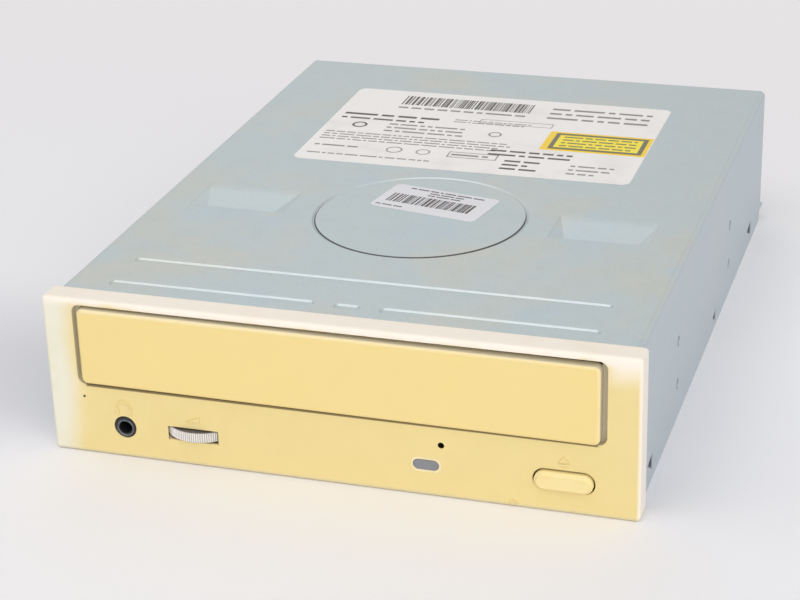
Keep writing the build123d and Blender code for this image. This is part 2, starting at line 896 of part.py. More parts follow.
def make_volume_wheel():
    """Thumb wheel with a milled rim, on the shaft of the volume control."""
    y = wheel_r - wheel_proud
    z0 = control_z - wheel_width / 2
    body = post(wheel_x, y, z0, z0 + wheel_width, wheel_r)
    body = chamfer(body.edges().filter_by(GeomType.CIRCLE), wheel_edge)
    groove_x = wheel_x + wheel_r + wheel_groove_r / 3
    groove = post(groove_x, y, z0 - 1.0, z0 + wheel_width + 1.0, wheel_groove_r)
    turned = [
        Pos(wheel_x, y, 0) * Rot(0, 0, 360.0 * index / wheel_grooves) * Pos(-wheel_x, -y, 0) * groove
        for index in range(wheel_grooves)
    ]
    body -= Compound(turned)
    return body - post(wheel_x, y, z0 - 1.0, z0 + wheel_width + 1.0, volume_shaft_r + touch_gap)


def make_volume_control():
    """Rotary control under the thumb wheel, with its upright shaft."""
    y = wheel_r - wheel_proud
    half = volume_body / 2
    top = board_top + volume_body_height
    body = block(wheel_x - half, wheel_x + half, front_board_y0, y + volume_body, board_top, top)
    return body + post(wheel_x, y, top, control_z + wheel_width / 2 + volume_shaft_rise, volume_shaft_r)


def make_front_board():
    """Narrow circuit board behind the bezel."""
    body = block(-board_half, board_half, front_board_y0, front_board_y1, board_z, board_top)
    for x, y in board_screw_places:
        if y < front_board_y1:
            body -= post(x, y, 0.0, board_top + 1.0, board_screw_r + board_screw_gap)
    return body


def make_eject_switch():
    """Push switch on the front board, open at the front for its plunger."""
    half = switch_size / 2
    y0 = switch_y + switch_back
    body = block(button_x - half, button_x + half, y0, y0 + switch_depth, board_top, board_top + switch_size)
    return body - rod_along_y(button_x, control_z, y0 - 1.0, y0 + switch_bore, plunger_r + slide_gap)


def make_switch_plunger():
    """The switch's round plunger."""
    return rod_along_y(button_x, control_z, switch_y, switch_y + plunger_length, plunger_r)


def top_label(width, length, r, x, y, turn):
    """A thin label on the cover's top."""
    sheet_of_paper = extrude(RectangleRounded(width, length, r), label_thickness)
    return Pos(x, y, case_height + cut_over) * Rot(0, 0, turn) * sheet_of_paper


def make_rating_label():
    """Large paper label."""
    return top_label(label_width, label_length, label_r, label_x, label_y, 0.0)


def make_small_label():
    """Small turned sticker in the middle of the clamp ring."""
    return top_label(sticker_width, sticker_length, sticker_r, sticker_x, sticker_y, sticker_turn)


def frame_side(side):
    """One side of the frame as added and removed solids: wall, ledges, screw bosses, legs and hinge boss."""
    added = []
    removed = []
    x0, x1 = sorted((side * wall_x, side * wall_out))
    added.append(block(x0, x1, frame_y0, frame_y1, frame_z0, frame_top_z))
    x0, x1 = sorted((side * ledge_x, side * wall_x))
    added.append(block(x0, x1, frame_y0, frame_y1, ledge_top - ledge_thickness, ledge_top))
    top = skirt_z + runner_height + runner_gap
    half = hold_down_length / 2
    for y in hold_down_ys:
        added.append(block(x0, x1, y - half, y + half, top, top + ledge_thickness))
    x0, x1 = sorted((side * wall_out, side * (half_inside - touch_gap)))
    half = boss_width / 2
    for y in bay_ys:
        added.append(block(x0, x1, y - half, y + half, sheet, bay_zs[1] + half))
        for z in bay_zs:
            removed.append(rod_along_x(y, z, side * half_inside, side * (half_inside - bore_depth), screw_r))
        removed.append(post(side * bay_pitch_x / 2, y, 0.0, bore_depth, screw_r))
    x0, x1 = sorted((side * wall_x, side * (half_inside - 2 * sheet)))
    for y in case_screw_ys:
        leg_z1 = frame_z0 + leg_rise
        added.append(block(x0, x1, y - leg_half, y + leg_half, case_head_depth + sheet, leg_z1))
        removed.append(post(side * case_screw_x, y, 0.0, case_head_depth + case_screw_bore, screw_r))
    x0, x1 = sorted((side * (traverse_half + hinge_gap), side * wall_x))
    z0, z1 = pivot_z - 2 * pivot_r, rack_z0 - hinge_gap
    added.append(block(x0, x1, pivot_y - hinge_half, pivot_y + hinge_half, z0, z1))
    bore_end = traverse_half + trunnion_length + 2 * hinge_gap
    removed.append(rod_along_x(pivot_y, pivot_z, side * traverse_half, side * bore_end, pivot_r + pivot_fit))
    return added, removed


def make_main_frame():
    """Moulded frame: side walls with ledges for the tray, loader deck, hinge and screw bosses, back bar."""
    body = block(-wall_x, wall_x, frame_y0, deck_y1, deck_z, deck_top)
    body += block(-wall_x, wall_x, crossbar_y0, frame_y1, crossbar_z0, crossbar_z1)
    for side in (-1, 1):
        added, removed = frame_side(side)
        body += added
        body -= removed
    under, over = deck_z - 1.0, deck_top + 1.0
    body -= post(motor_x, motor_y, under, over, motor_hole_r)
    notch_x0 = lever_x - lever_notch_side
    notch_x1 = lever_x + lever_notch_side
    body -= block(notch_x0, notch_x1, lever_pin_y - lever_notch_front, deck_y1 + 1.0, under, over)
    body += post(drive_gear_x, drive_gear_y, deck_top, plate_z - gear_post_short, gear_post_r)
    pulley_top = wheel_gear_z + wheel_gear_height + gear_post_over
    body += post(pulley_x, drive_gear_y, deck_top, pulley_top, gear_post_r)
    body += post(lever_x, lever_y, lever_z - gear_post_over, deck_z, gear_post_r)
    for x in guide_post_xs:
        body += post(x, guide_post_y, deck_top, cam_foot_z + cam_foot_height + gear_post_over, guide_post_r)
    return body


def make_tray():
    """Disc tray: well for large and small discs, slot open to the back, runners, rack and front apron."""
    front = tray_front_y + sheet
    body = block(-tray_half, tray_half, front, tray_back_y, plate_z, tray_floor_z)
    body += block(-tray_half, tray_half, front, rim_back_y, tray_floor_z, rim_z)
    body -= post(0, disc_y, tray_floor_z, rim_z + 1, well_r)
    body -= post(0, disc_y, tray_floor_z - small_well_depth, rim_z, small_disc_r + disc_gap)
    body -= post(0, disc_y, plate_z - 1, rim_z + 1, tray_slot_half)
    body -= block(-tray_slot_half, tray_slot_half, disc_y, tray_back_y + 1, plate_z - 1, rim_z + 1)
    apron_y1 = tray_front_y + apron_wall
    body += block(-tray_half, tray_half, tray_front_y, apron_y1, plate_z - apron_drop, rim_z + apron_rise)
    for side in (-1, 1):
        x0, x1 = sorted((side * (tray_half - skirt_wall), side * tray_half))
        body += block(x0, x1, tray_front_y, tray_back_y, skirt_z, plate_z)
        x0, x1 = sorted((side * tray_half, side * runner_half))
        body += block(x0, x1, apron_y1, tray_back_y, skirt_z, skirt_z + runner_height)
    rack_height = plate_z - rack_z0
    teeth = rack(rack_module, apron_y1 + rack_module, rack_back, drive_gear_y, rack_height, rack_width, 1)
    body += Pos(rack_x, 0, rack_z0) * teeth
    return body


def make_clamp_bridge():
    """Pressed strip across the frame that carries the disc clamp."""
    end_x = wall_out + bridge_overhang
    half = bridge_length / 2
    body = block(-end_x, end_x, disc_y - half, disc_y + half, frame_top_z, bridge_top)
    middle = bridge_middle / 2
    body += block(-middle, middle, disc_y - middle, disc_y + middle, frame_top_z, bridge_top)
    rib_half = bridge_rib_width / 2
    for edge in (-1, 1):
        y = disc_y + edge * (half - bridge_rib_inset)
        rib_top = bridge_top + bridge_rib_height
        rib = block(bridge_rib_x, wall_x - 1.0, y - rib_half, y + rib_half, frame_top_z, rib_top)
        body += [rib, mirror(rib, Plane.YZ)]
    body -= post(0, disc_y, 0.0, case_height, bridge_hole_r)
    for x in (-bridge_screw_x, bridge_screw_x):
        body -= post(x, disc_y, 0.0, case_height, bridge_screw_r + slide_gap)
    return body


def make_bridge_screws():
    """Two screws that hold the bridge down."""
    screws = []
    head_z = bridge_top + bridge_screw_head
    for x in (-bridge_screw_x, bridge_screw_x):
        screw = post(x, disc_y, bridge_top, head_z, bridge_screw_head_r)
        screw += post(x, disc_y, frame_top_z + thread_gap, bridge_top, bridge_screw_r)
        slots = cross_slots(x, disc_y, head_z - screw_slot_depth, head_z + 1.0, bridge_screw_head_r)
        screws.append(screw - slots)
    return screws


def make_clamper():
    """Round disc clamp that hangs in the bridge by its flange."""
    shoulder_z = frame_top_z - 2 * free_gap
    flange_z = bridge_top + free_gap
    body = post(0, disc_y, clamper_z, shoulder_z, clamper_r)
    body += post(0, disc_y, shoulder_z, flange_z, clamper_neck_r)
    body += post(0, disc_y, flange_z, flange_z + clamper_flange, clamper_flange_r)
    return body - post(0, disc_y, 0.0, clamper_z + hub_height + clamper_hub_gap, hub_r + clamper_hub_gap / 2)


def make_clamp_plate():
    """Steel plate on top of the clamp, drawn down by the turntable's magnet."""
    z = bridge_top + free_gap + clamper_flange
    plate = post(0, disc_y, z, z + sheet, clamp_plate_r)
    return plate - post(0, disc_y, 0.0, case_height, clamp_plate_hole_r)


def damper_places():
    """The four corners of the traverse where rubber dampers and their screws sit."""
    x = traverse_half - traverse_side / 2
    return [(side * x, y) for side in (-1, 1) for y in (traverse_y0 + damper_inset, pivot_y - damper_back)]


def make_traverse_chassis():
    """Moulded lifting chassis: frame round the pickup, shelf for the spindle motor, hinge and cam pins."""
    traverse_y1 = pivot_y + traverse_back
    body = block(-traverse_half, traverse_half, traverse_y0, traverse_y1, traverse_z0, traverse_z1)
    inner = traverse_half - traverse_side
    body += post(feed_motor_x, feed_motor_y, traverse_z0, traverse_z1, feed_motor_r + feed_motor_wall)
    body -= block(-inner, inner, shelf_y1, traverse_bar_y0, 0.0, case_height)
    body -= post(0, disc_y, 0.0, case_height, spindle_motor_r + pivot_fit)
    for side in (-1, 1):
        pin_x0, pin_x1 = side * (traverse_half - 1.0), side * (traverse_half + trunnion_length)
        body += rod_along_x(pivot_y, pivot_z, pin_x0, pin_x1, pivot_r)
    for x in cam_pin_xs:
        body += rod_along_y(x, cam_pin_z, cam_wall_y0 - slide_gap, traverse_y0 + 1.0, cam_pin_r)
    for x, y in damper_places():
        body -= post(x, y, 0.0, case_height, damper_hole_r)
    for x in (-rod_x, rod_x):
        body -= rod_along_y(x, rod_z, rod_y0, rod_y1, rod_r)
    for y0, y1 in ((rod_y0 - rod_cap, rod_y0 + rod_seat), (rod_y1 - rod_seat, rod_y1 + rod_cap)):
        for side in (-1, 1):
            x0, x1 = sorted((side * (rod_x - rod_seat_inner), side * (inner + rod_cap)))
            seat = block(x0, x1, y0, y1, traverse_z0, rod_z)
            body += seat - rod_along_y(side * rod_x, rod_z, rod_y0, rod_y1, rod_r)
    body -= post(feed_motor_x, feed_motor_y, 0.0, case_height, feed_motor_r + pivot_fit)
    body += post(feed_gear_x, feed_y, traverse_z0, feed_wheel_z + feed_wheel_height, feed_post_r)
    x0 = feed_rack_x - feed_notch_side
    x1 = feed_rack_x + feed_rack_back + feed_notch_side
    z0, z1 = feed_rack_z0 - free_gap, traverse_z1 + 1.0
    body -= block(x0, x1, traverse_bar_y0 - 1.0, traverse_y1 + 1.0, z0, z1)
    return body


def make_dampers():
    """Rubber dampers in the corners of the traverse."""
    rings = []
    for x, y in damper_places():
        ring = post(x, y, traverse_z0 - damper_lip, traverse_z1 + damper_lip, damper_r)
        groove = post(x, y, traverse_z0, traverse_z1, damper_r + 1.0)
        groove -= post(x, y, 0.0, case_height, damper_hole_r)
        rings.append(ring - groove - post(x, y, 0.0, case_height, damper_screw_r))
    return rings


def make_damper_screws():
    """Shoulder screws through the dampers."""
    screws = []
    z = traverse_z1 + damper_lip
    head_z = z + damper_screw_head
    for x, y in damper_places():
        screw = post(x, y, z, head_z, board_screw_head_r)
        screw += post(x, y, traverse_z0 - damper_lip, z, damper_screw_r)
        screws.append(screw - cross_slots(x, y, head_z - screw_slot, head_z + 1.0, board_screw_head_r))
    return screws


def make_guide_rods():
    """Two polished rods that guide the pickup."""
    return [rod_along_y(x, rod_z, rod_y0, rod_y1, rod_r) for x in (-rod_x, rod_x)]


def make_spindle_motor():
    """Flat motor in the shelf of the traverse, with a flange over it."""
    body = post(0, disc_y, spindle_motor_z0, traverse_z1, spindle_motor_r)
    body += post(0, disc_y, traverse_z1, traverse_z1 + sheet, spindle_motor_r + spindle_flange)
    body += post(0, disc_y, traverse_z1 + sheet, spindle_motor_z1, spindle_motor_r - spindle_step)
    return body - post(0, disc_y, spindle_motor_z0 + spindle_floor, case_height, spindle_r + gear_fit)


def make_turntable():
    """Turntable with its centring hub and the spindle shaft."""
    body = post(0, disc_y, turntable_z0, seat_z - rubber_height, turntable_r)
    cone_z = seat_z + hub_height - hub_cone
    body += post(0, disc_y, turntable_z0, cone_z, hub_r)
    body += Pos(0, disc_y, cone_z) * extrude(Circle(hub_r), hub_cone, taper=45)
    spindle_z0 = spindle_motor_z0 + spindle_floor + free_gap
    body += post(0, disc_y, spindle_z0, turntable_z0 + 1.0, spindle_r)
    return body - post(0, disc_y, seat_z, seat_z + hub_height + 1.0, magnet_r)


def make_turntable_rubber():
    """Rubber ring that grips the disc."""
    ring = Circle(turntable_r - hub_edge) - Circle(rubber_r0)
    return top_prism(ring, 0, disc_y, seat_z - rubber_height, seat_z)


def make_turntable_magnet():
    """Magnet in the middle of the hub."""
    return post(0, disc_y, seat_z, seat_z + hub_height - hub_edge, magnet_r)


def make_pickup_body():
    """Cast pickup sled on both rods: bored shoe on the left, open shoe on the right, pocket on top."""
    y0, y1 = pickup_y - pickup_length / 2, pickup_y + pickup_length / 2
    step_z = pickup_z1 - pickup_step
    body = block(-pickup_half, pickup_half, y0, y1, pickup_z0, step_z)
    top_half = pickup_half - pickup_shoulder
    body += block(-top_half, top_half, y0 + pickup_shoulder / 2, y1 - pickup_shoulder, step_z, pickup_z1)
    shoe_x0 = -rod_x - pickup_shoe
    z0, z1 = rod_z - pickup_shoe_half, rod_z + pickup_shoe_half
    body += block(shoe_x0, -pickup_half, y0 + pickup_shoe_inset, y1 - pickup_shoe_inset, z0, z1)
    fork_x1 = rod_x + pickup_shoe_half
    z0, z1 = rod_z - pickup_shoe, rod_z + pickup_shoe
    body += block(pickup_half, fork_x1, pickup_y - pickup_shoulder, pickup_y + pickup_shoulder, z0, z1)
    body -= rod_along_y(-rod_x, rod_z, 0.0, case_length, rod_r + rod_fit)
    slot_half = rod_r + rod_fit
    body -= block(rod_x - pickup_step, fork_x1 + 1.0, 0.0, case_length, rod_z - slot_half, rod_z + slot_half)
    half_x = holder_width / 2 + pickup_pocket_x
    half_y = holder_length / 2 + pickup_pocket_y
    return body - block(-half_x, half_x, lens_y - half_y, lens_y + half_y, holder_z - sheet, case_height)


def make_lens_holder():
    """Sprung holder that carries the lens, with its two coils."""
    z1 = holder_z + holder_height
    half_x = holder_width / 2
    half_y = holder_length / 2 - coil_thickness
    body = block(-half_x, half_x, lens_y - half_y, lens_y + half_y, holder_z, z1)
    for side in (-1, 1):
        y = lens_y + side * (half_y + coil_thickness / 2 - slide_gap)
        y0, y1 = y - coil_thickness / 2, y + coil_thickness / 2
        body += block(-coil_half, coil_half, y0, y1, holder_z + coil_inset, z1 - 2 * coil_inset)
    body += post(0, lens_y, z1, z1 + lens_rim_height, lens_r + lens_rim)
    return body - post(0, lens_y, holder_z + lens_rim_height, case_height, lens_r)


def make_lens():
    """Domed objective lens."""
    z = holder_z + holder_height - lens_seat
    dome = Pos(0, lens_y, z + lens_height - lens_dome_r) * Sphere(lens_dome_r)
    return post(0, lens_y, z, z + lens_height + 1.0, lens_r) & dome


def make_pickup_rack():
    """Toothed strip on the pickup's bored shoe, driven by the feed gear."""
    teeth = rack(feed_module, feed_rack_y0, feed_rack_y1, feed_y, feed_rack_height, feed_rack_back, -1)
    return Pos(feed_rack_x, 0, feed_rack_z0) * teeth


def make_feed_motor():
    """Small motor standing in the side of the traverse."""
    body = post(feed_motor_x, feed_motor_y, feed_motor_z0, feed_motor_z1, feed_motor_r)
    shaft_z1 = feed_wheel_z + feed_wheel_height
    return body + post(feed_motor_x, feed_motor_y, feed_motor_z1, shaft_z1, feed_shaft_r)


def make_feed_pinion():
    """Pinion on the feed motor's shaft."""
    phase = feed_angle + 180.0 + 180.0 / feed_pinion_teeth
    pinion = gear(feed_pinion_teeth, feed_module, feed_wheel_height, phase)
    body = Pos(feed_motor_x, feed_motor_y, feed_wheel_z) * pinion
    return body - post(feed_motor_x, feed_motor_y, 0.0, case_height, feed_shaft_r + gear_fit / 2)


def make_feed_gear():
    """Stepped feed gear: the small gear meshes with the pickup's rack, the wheel with the pinion."""
    small = gear(feed_small_teeth, feed_module, feed_small_height, 180.0 / feed_small_teeth)
    body = Pos(feed_gear_x, feed_y, feed_gear_z) * small
    wheel = gear(feed_wheel_teeth, feed_module, feed_wheel_height, feed_angle)
    body += Pos(feed_gear_x, feed_y, feed_wheel_z) * wheel
    return body - post(feed_gear_x, feed_y, 0.0, case_height, feed_post_r + gear_fit)


def make_loading_motor():
    """Loading motor under the deck, with its shaft through it."""
    body = post(motor_x, motor_y, deck_z - motor_height, deck_z, motor_r)
    body = chamfer(body.edges().group_by(Axis.Z)[0], sheet)
    body += post(motor_x, motor_y, deck_z, deck_z + motor_boss_height, motor_boss_r)
    return body + post(motor_x, motor_y, deck_z, pulley_z + pulley_height + free_gap, motor_shaft_r)


def grooved_pulley(x, y, groove_r):
    """A flat belt pulley with two flanges."""
    z1 = pulley_z + pulley_height
    edge = (pulley_height - belt_size - slide_gap) / 2
    body = post(x, y, pulley_z, z1, groove_r + pulley_flange)
    groove = post(x, y, pulley_z + edge, z1 - edge, groove_r + pulley_flange + 1.0)
    return body - (groove - post(x, y, pulley_z, z1, groove_r))


def make_motor_pulley():
    """Small pulley pressed on the loading motor's shaft."""
    body = grooved_pulley(motor_x, motor_y, motor_groove_r)
    return body - post(motor_x, motor_y, 0.0, case_height, motor_shaft_r + gear_fit / 2)


def belt_outline(grow):
    """The belt's path round both pulleys, grown outwards."""
    r1 = pulley_groove_r + belt_gap + grow
    r2 = motor_groove_r + belt_gap + grow
    dx, dy = motor_x - pulley_x, motor_y - drive_gear_y
    span = math.hypot(dx, dy)
    lean = math.acos((r1 - r2) / span)
    line = math.atan2(dy, dx)
    a0, a1 = line + lean, line - lean
    p1 = (pulley_x + r1 * math.cos(a0), drive_gear_y + r1 * math.sin(a0))
    p2 = (pulley_x + r1 * math.cos(a1), drive_gear_y + r1 * math.sin(a1))
    p3 = (motor_x + r2 * math.cos(a1), motor_y + r2 * math.sin(a1))
    p4 = (motor_x + r2 * math.cos(a0), motor_y + r2 * math.sin(a0))
    far1 = (pulley_x - r1 * math.cos(line), drive_gear_y - r1 * math.sin(line))
    far2 = (motor_x + r2 * math.cos(line), motor_y + r2 * math.sin(line))
    edges = [ThreePointArc(p1, far1, p2), Line(p2, p3), ThreePointArc(p3, far2, p4), Line(p4, p1)]
    return make_face(Wire(edges))


def make_drive_belt():
    """Square rubber belt from the motor pulley to the pulley gear."""
    z = pulley_z + pulley_height / 2 - belt_size / 2
    belt = extrude(belt_outline(belt_size), belt_size) - extrude(belt_outline(0.0), belt_size)
    return Pos(0, 0, z) * belt


def make_pulley_gear():
    """Large belt pulley with its pinion on top."""
    body = grooved_pulley(pulley_x, drive_gear_y, pulley_groove_r)
    body += post(pulley_x, drive_gear_y, pulley_z, wheel_gear_z, gear_hub_r)
    pinion = gear(pulley_pinion_teeth, wheel_module, wheel_gear_height, 180.0 + 180.0 / pulley_pinion_teeth)
    body += Pos(pulley_x, drive_gear_y, wheel_gear_z) * pinion
    return body - post(pulley_x, drive_gear_y, 0.0, case_height, gear_post_r + gear_fit)


def make_drive_gear():
    """Drive gear: wheel below in mesh with the pulley's pinion, pinion above in mesh with the tray's rack."""
    wheel = gear(wheel_teeth, wheel_module, wheel_gear_height, 0.0)
    body = Pos(drive_gear_x, drive_gear_y, wheel_gear_z) * wheel
    body += post(drive_gear_x, drive_gear_y, pulley_z, wheel_gear_z, gear_hub_r)
    z = wheel_gear_z + wheel_gear_height
    phase = 180.0 + 180.0 / pinion_teeth
    pinion = gear(pinion_teeth, rack_module, plate_z - gear_under - z, phase)
    body += Pos(drive_gear_x, drive_gear_y, z) * pinion
    return body - post(drive_gear_x, drive_gear_y, 0.0, case_height, gear_post_r + gear_fit)


def make_cam_slider():
    """Sliding cam: a foot guided on the deck, and two upright tabs whose slanting slots lift the traverse."""
    foot_z1 = cam_foot_z + cam_foot_height
    body = block(cam_foot_x0, cam_foot_x1, cam_foot_y0, cam_wall_y1, cam_foot_z, foot_z1)
    ear_x0, ear_x1 = lever_pin_x - cam_ear_half, lever_pin_x + cam_ear_half
    body += block(ear_x0, ear_x1, lever_pin_y - cam_ear_front, cam_foot_y0, cam_foot_z, foot_z1)
    slot_r = cam_pin_r + cam_pin_gap
    run = math.hypot(cam_travel, cam_drop) + cam_over
    slant = math.degrees(math.atan2(-cam_drop, cam_travel))
    slanting = SlotCenterToCenter(run, 2 * slot_r, rotation=slant)
    for x in cam_pin_xs:
        x0, x1 = x - cam_tab_margin, x + cam_travel + cam_tab_margin
        body += block(x0, x1, cam_wall_y0, cam_wall_y1, cam_tab_z0, cam_tab_z1)
        middle_z = cam_pin_z - cam_drop / 2
        body -= front_prism(slanting, x + cam_travel / 2, middle_z, cam_wall_y0 - 1.0, cam_wall_y1 + 1.0)
    for x in guide_post_xs:
        slot = SlotCenterToCenter(cam_travel, 2 * (guide_post_r + free_gap))
        body -= top_prism(slot, x + cam_travel / 2, guide_post_y, 0.0, case_height)
    rise = lever_arm - (lever_pin_y - lever_y)
    lever_slot = SlotCenterToCenter(rise + cam_over, 2 * (lever_pin_r + lever_pin_gap), rotation=90)
    body -= top_prism(lever_slot, lever_pin_x, lever_pin_y + rise / 2, cam_foot_z - 1.0, foot_z1 + 1.0)
    return body


def make_emergency_lever():
    """Lever behind the pinhole: its paddle is pushed, its pin moves the cam slider."""
    pin_angle = math.degrees(math.atan2(lever_pin_y - lever_y, lever_pin_x - lever_x))
    arm = SlotCenterToCenter(lever_arm, lever_width, rotation=pin_angle)
    top = lever_z + lever_thickness
    body = top_prism(arm, (lever_x + lever_pin_x) / 2, (lever_y + lever_pin_y) / 2, lever_z, top)
    dx, dy = pinhole_x - lever_x, paddle_y - lever_y
    arm = SlotCenterToCenter(math.hypot(dx, dy), lever_width, rotation=math.degrees(math.atan2(dy, dx)))
    body += top_prism(arm, lever_x + dx / 2, lever_y + dy / 2, lever_z, top)
    x0, x1 = pinhole_x - paddle_half, pinhole_x + paddle_half
    body += block(x0, x1, paddle_y - paddle_front, paddle_y + paddle_back, pinhole_z - paddle_drop, top)
    body += post(lever_pin_x, lever_pin_y, lever_z, cam_foot_z + cam_foot_height, lever_pin_r)
    return body - post(lever_x, lever_y, 0.0, case_height, gear_post_r + gear_fit)


def make_main_board():
    """Main circuit board at the back, with notches for the frame's legs."""
    body = block(-board_half, board_half, main_board_y0, main_board_y1, board_z, board_top)
    for x, y in board_screw_places:
        if y > front_board_y1:
            body -= post(x, y, 0.0, board_top + 1.0, board_screw_r + board_screw_gap)
    return body


def make_board_screws():
    """Screws that hold both boards to the base plate's standoffs."""
    screws = []
    for x, y in board_screw_places:
        head_z = board_top + board_screw_head
        screw = post(x, y, board_top, head_z, board_screw_head_r)
        screw += post(x, y, sheet, board_top, board_screw_r - thread_gap)
        screws.append(screw - cross_slots(x, y, head_z - screw_slot_depth, head_z + 1.0, board_screw_head_r))
    return screws


def make_chips():
    """The larger chips on the main board."""
    chips = []
    for x, y, width, length, height in chip_places:
        chip = Pos(x, y, board_top + height / 2) * Box(width, length, height)
        top = chip.edges().group_by(Axis.Z)[-1]
        chips.append(chamfer(top, chip_edge))
    return chips


def socket_shell(x, width, height, depth, z0, shell):
    """A rectangular socket, open to the back."""
    half = width / 2
    body = block(x - half, x + half, connector_y - depth, connector_y, z0, z0 + height)
    hollow_half = half - shell
    y0, y1 = connector_y - depth + socket_floor, connector_y + 1.0
    return body - block(x - hollow_half, x + hollow_half, y0, y1, z0 + shell, z0 + height - shell)


def make_data_connector():
    """Shrouded 40-way header with the polarising notch in its top wall."""
    body = socket_shell(data_x, data_width, data_height, data_depth, board_top, data_wall)
    z1 = board_top + data_height
    y0, y1 = connector_y - data_depth + socket_floor, connector_y + 1.0
    notch_x0, notch_x1 = data_x - data_notch / 2, data_x + data_notch / 2
    body -= block(notch_x0, notch_x1, y0, y1, z1 - 2 * data_wall, z1 + 1.0)
    pin_y = connector_y - data_depth + socket_floor / 2
    for x, z in pin_places(data_x, data_pin_columns, 2, board_top + data_height / 2):
        body -= Pos(x, pin_y, z) * Box(pin_size, 2 * socket_floor, pin_size)
    return body


def pin_places(x, columns, rows, z):
    """Centres of a grid of pins."""
    return [
        (x + (column - (columns - 1) / 2) * pin_pitch, z + (row - (rows - 1) / 2) * pin_pitch)
        for column in range(columns)
        for row in range(rows)
    ]


def make_data_pins():
    """Square pins of the data header; one place is left out, as the key."""
    pins = []
    for index, (x, z) in enumerate(pin_places(data_x, data_pin_columns, 2, board_top + data_height / 2)):
        if index != data_pin_columns:
            pins.append(Pos(x, connector_y - data_pin_middle, z) * Box(pin_size, data_pin_length, pin_size))
    return pins


def make_power_connector():
    """Four-way power socket."""
    body = socket_shell(power_x, power_width, power_height, power_depth, board_top, power_wall)
    z = board_top + power_height / 2
    for x in power_pin_xs():
        body -= rod_along_y(x, z, connector_y - power_depth - 1.0, connector_y, power_pin_r)
    return body


def power_pin_xs():
    """Places of the four power pins across the socket."""
    return [power_x + (index - 1.5) * power_pitch for index in range(4)]


def make_power_pins():
    """Four round pins of the power socket."""
    z = board_top + power_height / 2
    y0, y1 = connector_y - power_depth + slide_gap, connector_y - power_pin_inset
    return [rod_along_y(x, z, y0, y1, power_pin_r) for x in power_pin_xs()]


def make_jumper_block():
    """Open header of three pairs of pins for the drive's address, with one jumper cap fitted."""
    header_y1 = connector_y - jumper_pin_length
    half = 1.5 * pin_pitch
    z1 = board_top + 2 * pin_pitch
    body = block(jumper_x - half, jumper_x + half, header_y1 - pin_pitch, header_y1, board_top, z1)
    for x, z in pin_places(jumper_x, 3, 2, board_top + pin_pitch):
        body += Pos(x, connector_y - jumper_pin_length / 2, z) * Box(pin_size, jumper_pin_length, pin_size)
    x = jumper_x + pin_pitch
    cap_y0, cap_y1 = header_y1 + free_gap, connector_y - 2 * free_gap
    half = pin_pitch / 2 - slide_gap
    return body + block(x - half, x + half, cap_y0, cap_y1, board_top + slide_gap, z1 - slide_gap)


def make_audio_connector():
    """Four-way audio socket with its pins."""
    body = socket_shell(audio_x, audio_width, audio_height, audio_depth, board_top, audio_wall)
    for x, z in pin_places(audio_x, 4, 1, board_top + audio_height / 2):
        body += Pos(x, connector_y - audio_depth / 2, z) * Box(pin_size, audio_pin_length, pin_size)
    return body


def make_front_cable():
    """Flat ribbon that joins the front board to the main board along the base."""
    y0, y1 = front_board_y1 - 5.0, main_board_y0 + 5.0
    body = block(ribbon_x0, ribbon_x1, y0, y1, board_top, board_top + 0.4)
    return body


pieces = {
    "top_cover": make_cover,
    "bottom_plate": make_bottom_plate,
    "case_screws": make_case_screws,
    "bezel": make_bezel,
    "tray_door": make_tray_door,
    "eject_button": make_eject_button,
    "lamp_window": make_lamp_window,
    "lamp": make_lamp,
    "headphone_jack": make_headphone_jack,
    "volume_wheel": make_volume_wheel,
    "volume_control": make_volume_control,
    "front_board": make_front_board,
    "eject_switch": make_eject_switch,
    "switch_plunger": make_switch_plunger,
    "rating_label": make_rating_label,
    "small_label": make_small_label,
    "main_frame": make_main_frame,
    "tray": make_tray,
    "clamp_bridge": make_clamp_bridge,
    "bridge_screws": make_bridge_screws,
    "clamper": make_clamper,
    "clamp_plate": make_clamp_plate,
    "traverse_chassis": make_traverse_chassis,
    "traverse_dampers": make_dampers,
    "traverse_screws": make_damper_screws,
    "guide_rods": make_guide_rods,
    "spindle_motor": make_spindle_motor,
    "turntable": make_turntable,
    "turntable_rubber": make_turntable_rubber,
    "turntable_magnet": make_turntable_magnet,
    "pickup_body": make_pickup_body,
    "lens_holder": make_lens_holder,
    "lens": make_lens,
    "pickup_rack": make_pickup_rack,
    "feed_motor": make_feed_motor,
    "feed_pinion": make_feed_pinion,
    "feed_gear": make_feed_gear,
    "loading_motor": make_loading_motor,
    "motor_pulley": make_motor_pulley,
    "drive_belt": make_drive_belt,
    "pulley_gear": make_pulley_gear,
    "drive_gear": make_drive_gear,
    "cam_slider": make_cam_slider,
    "emergency_lever": make_emergency_lever,
    "main_board": make_main_board,
    "board_screws": make_board_screws,
    "chips": make_chips,
    "data_connector": make_data_connector,
    "data_pins": make_data_pins,
    "power_connector": make_power_connector,
    "power_pins": make_power_pins,
    "jumper_block": make_jumper_block,
    "audio_connector": make_audio_connector,
    "front_cable": make_front_cable,
}

front_most = -wheel_proud
back_most = case_y1 + lug_length
to_base_centre = Pos(0, -(front_most + back_most) / 2, 0)

os.makedirs("parts", exist_ok=True)
for name, make in pieces.items():
    made = make()
    solids = made if isinstance(made, list) else made.solids()
    moved = [to_base_centre * solid for solid in solids]
    export_step(moved[0] if len(moved) == 1 else Compound(moved), f"parts/{name}.step")
print(len(pieces), "nodes; origin", round((front_most + back_most) / 2, 3), "mm behind the bezel's face")
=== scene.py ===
"""Looks of a half-height CD-ROM drive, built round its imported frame.

Everything is in metres in the frame's own axes: X to the right, Y to the back, Z up from the base.
"""
import math
import random

import bmesh
import bpy
from bpy.props import FloatProperty, FloatVectorProperty, IntProperty, PointerProperty
from mathutils import Matrix, Vector


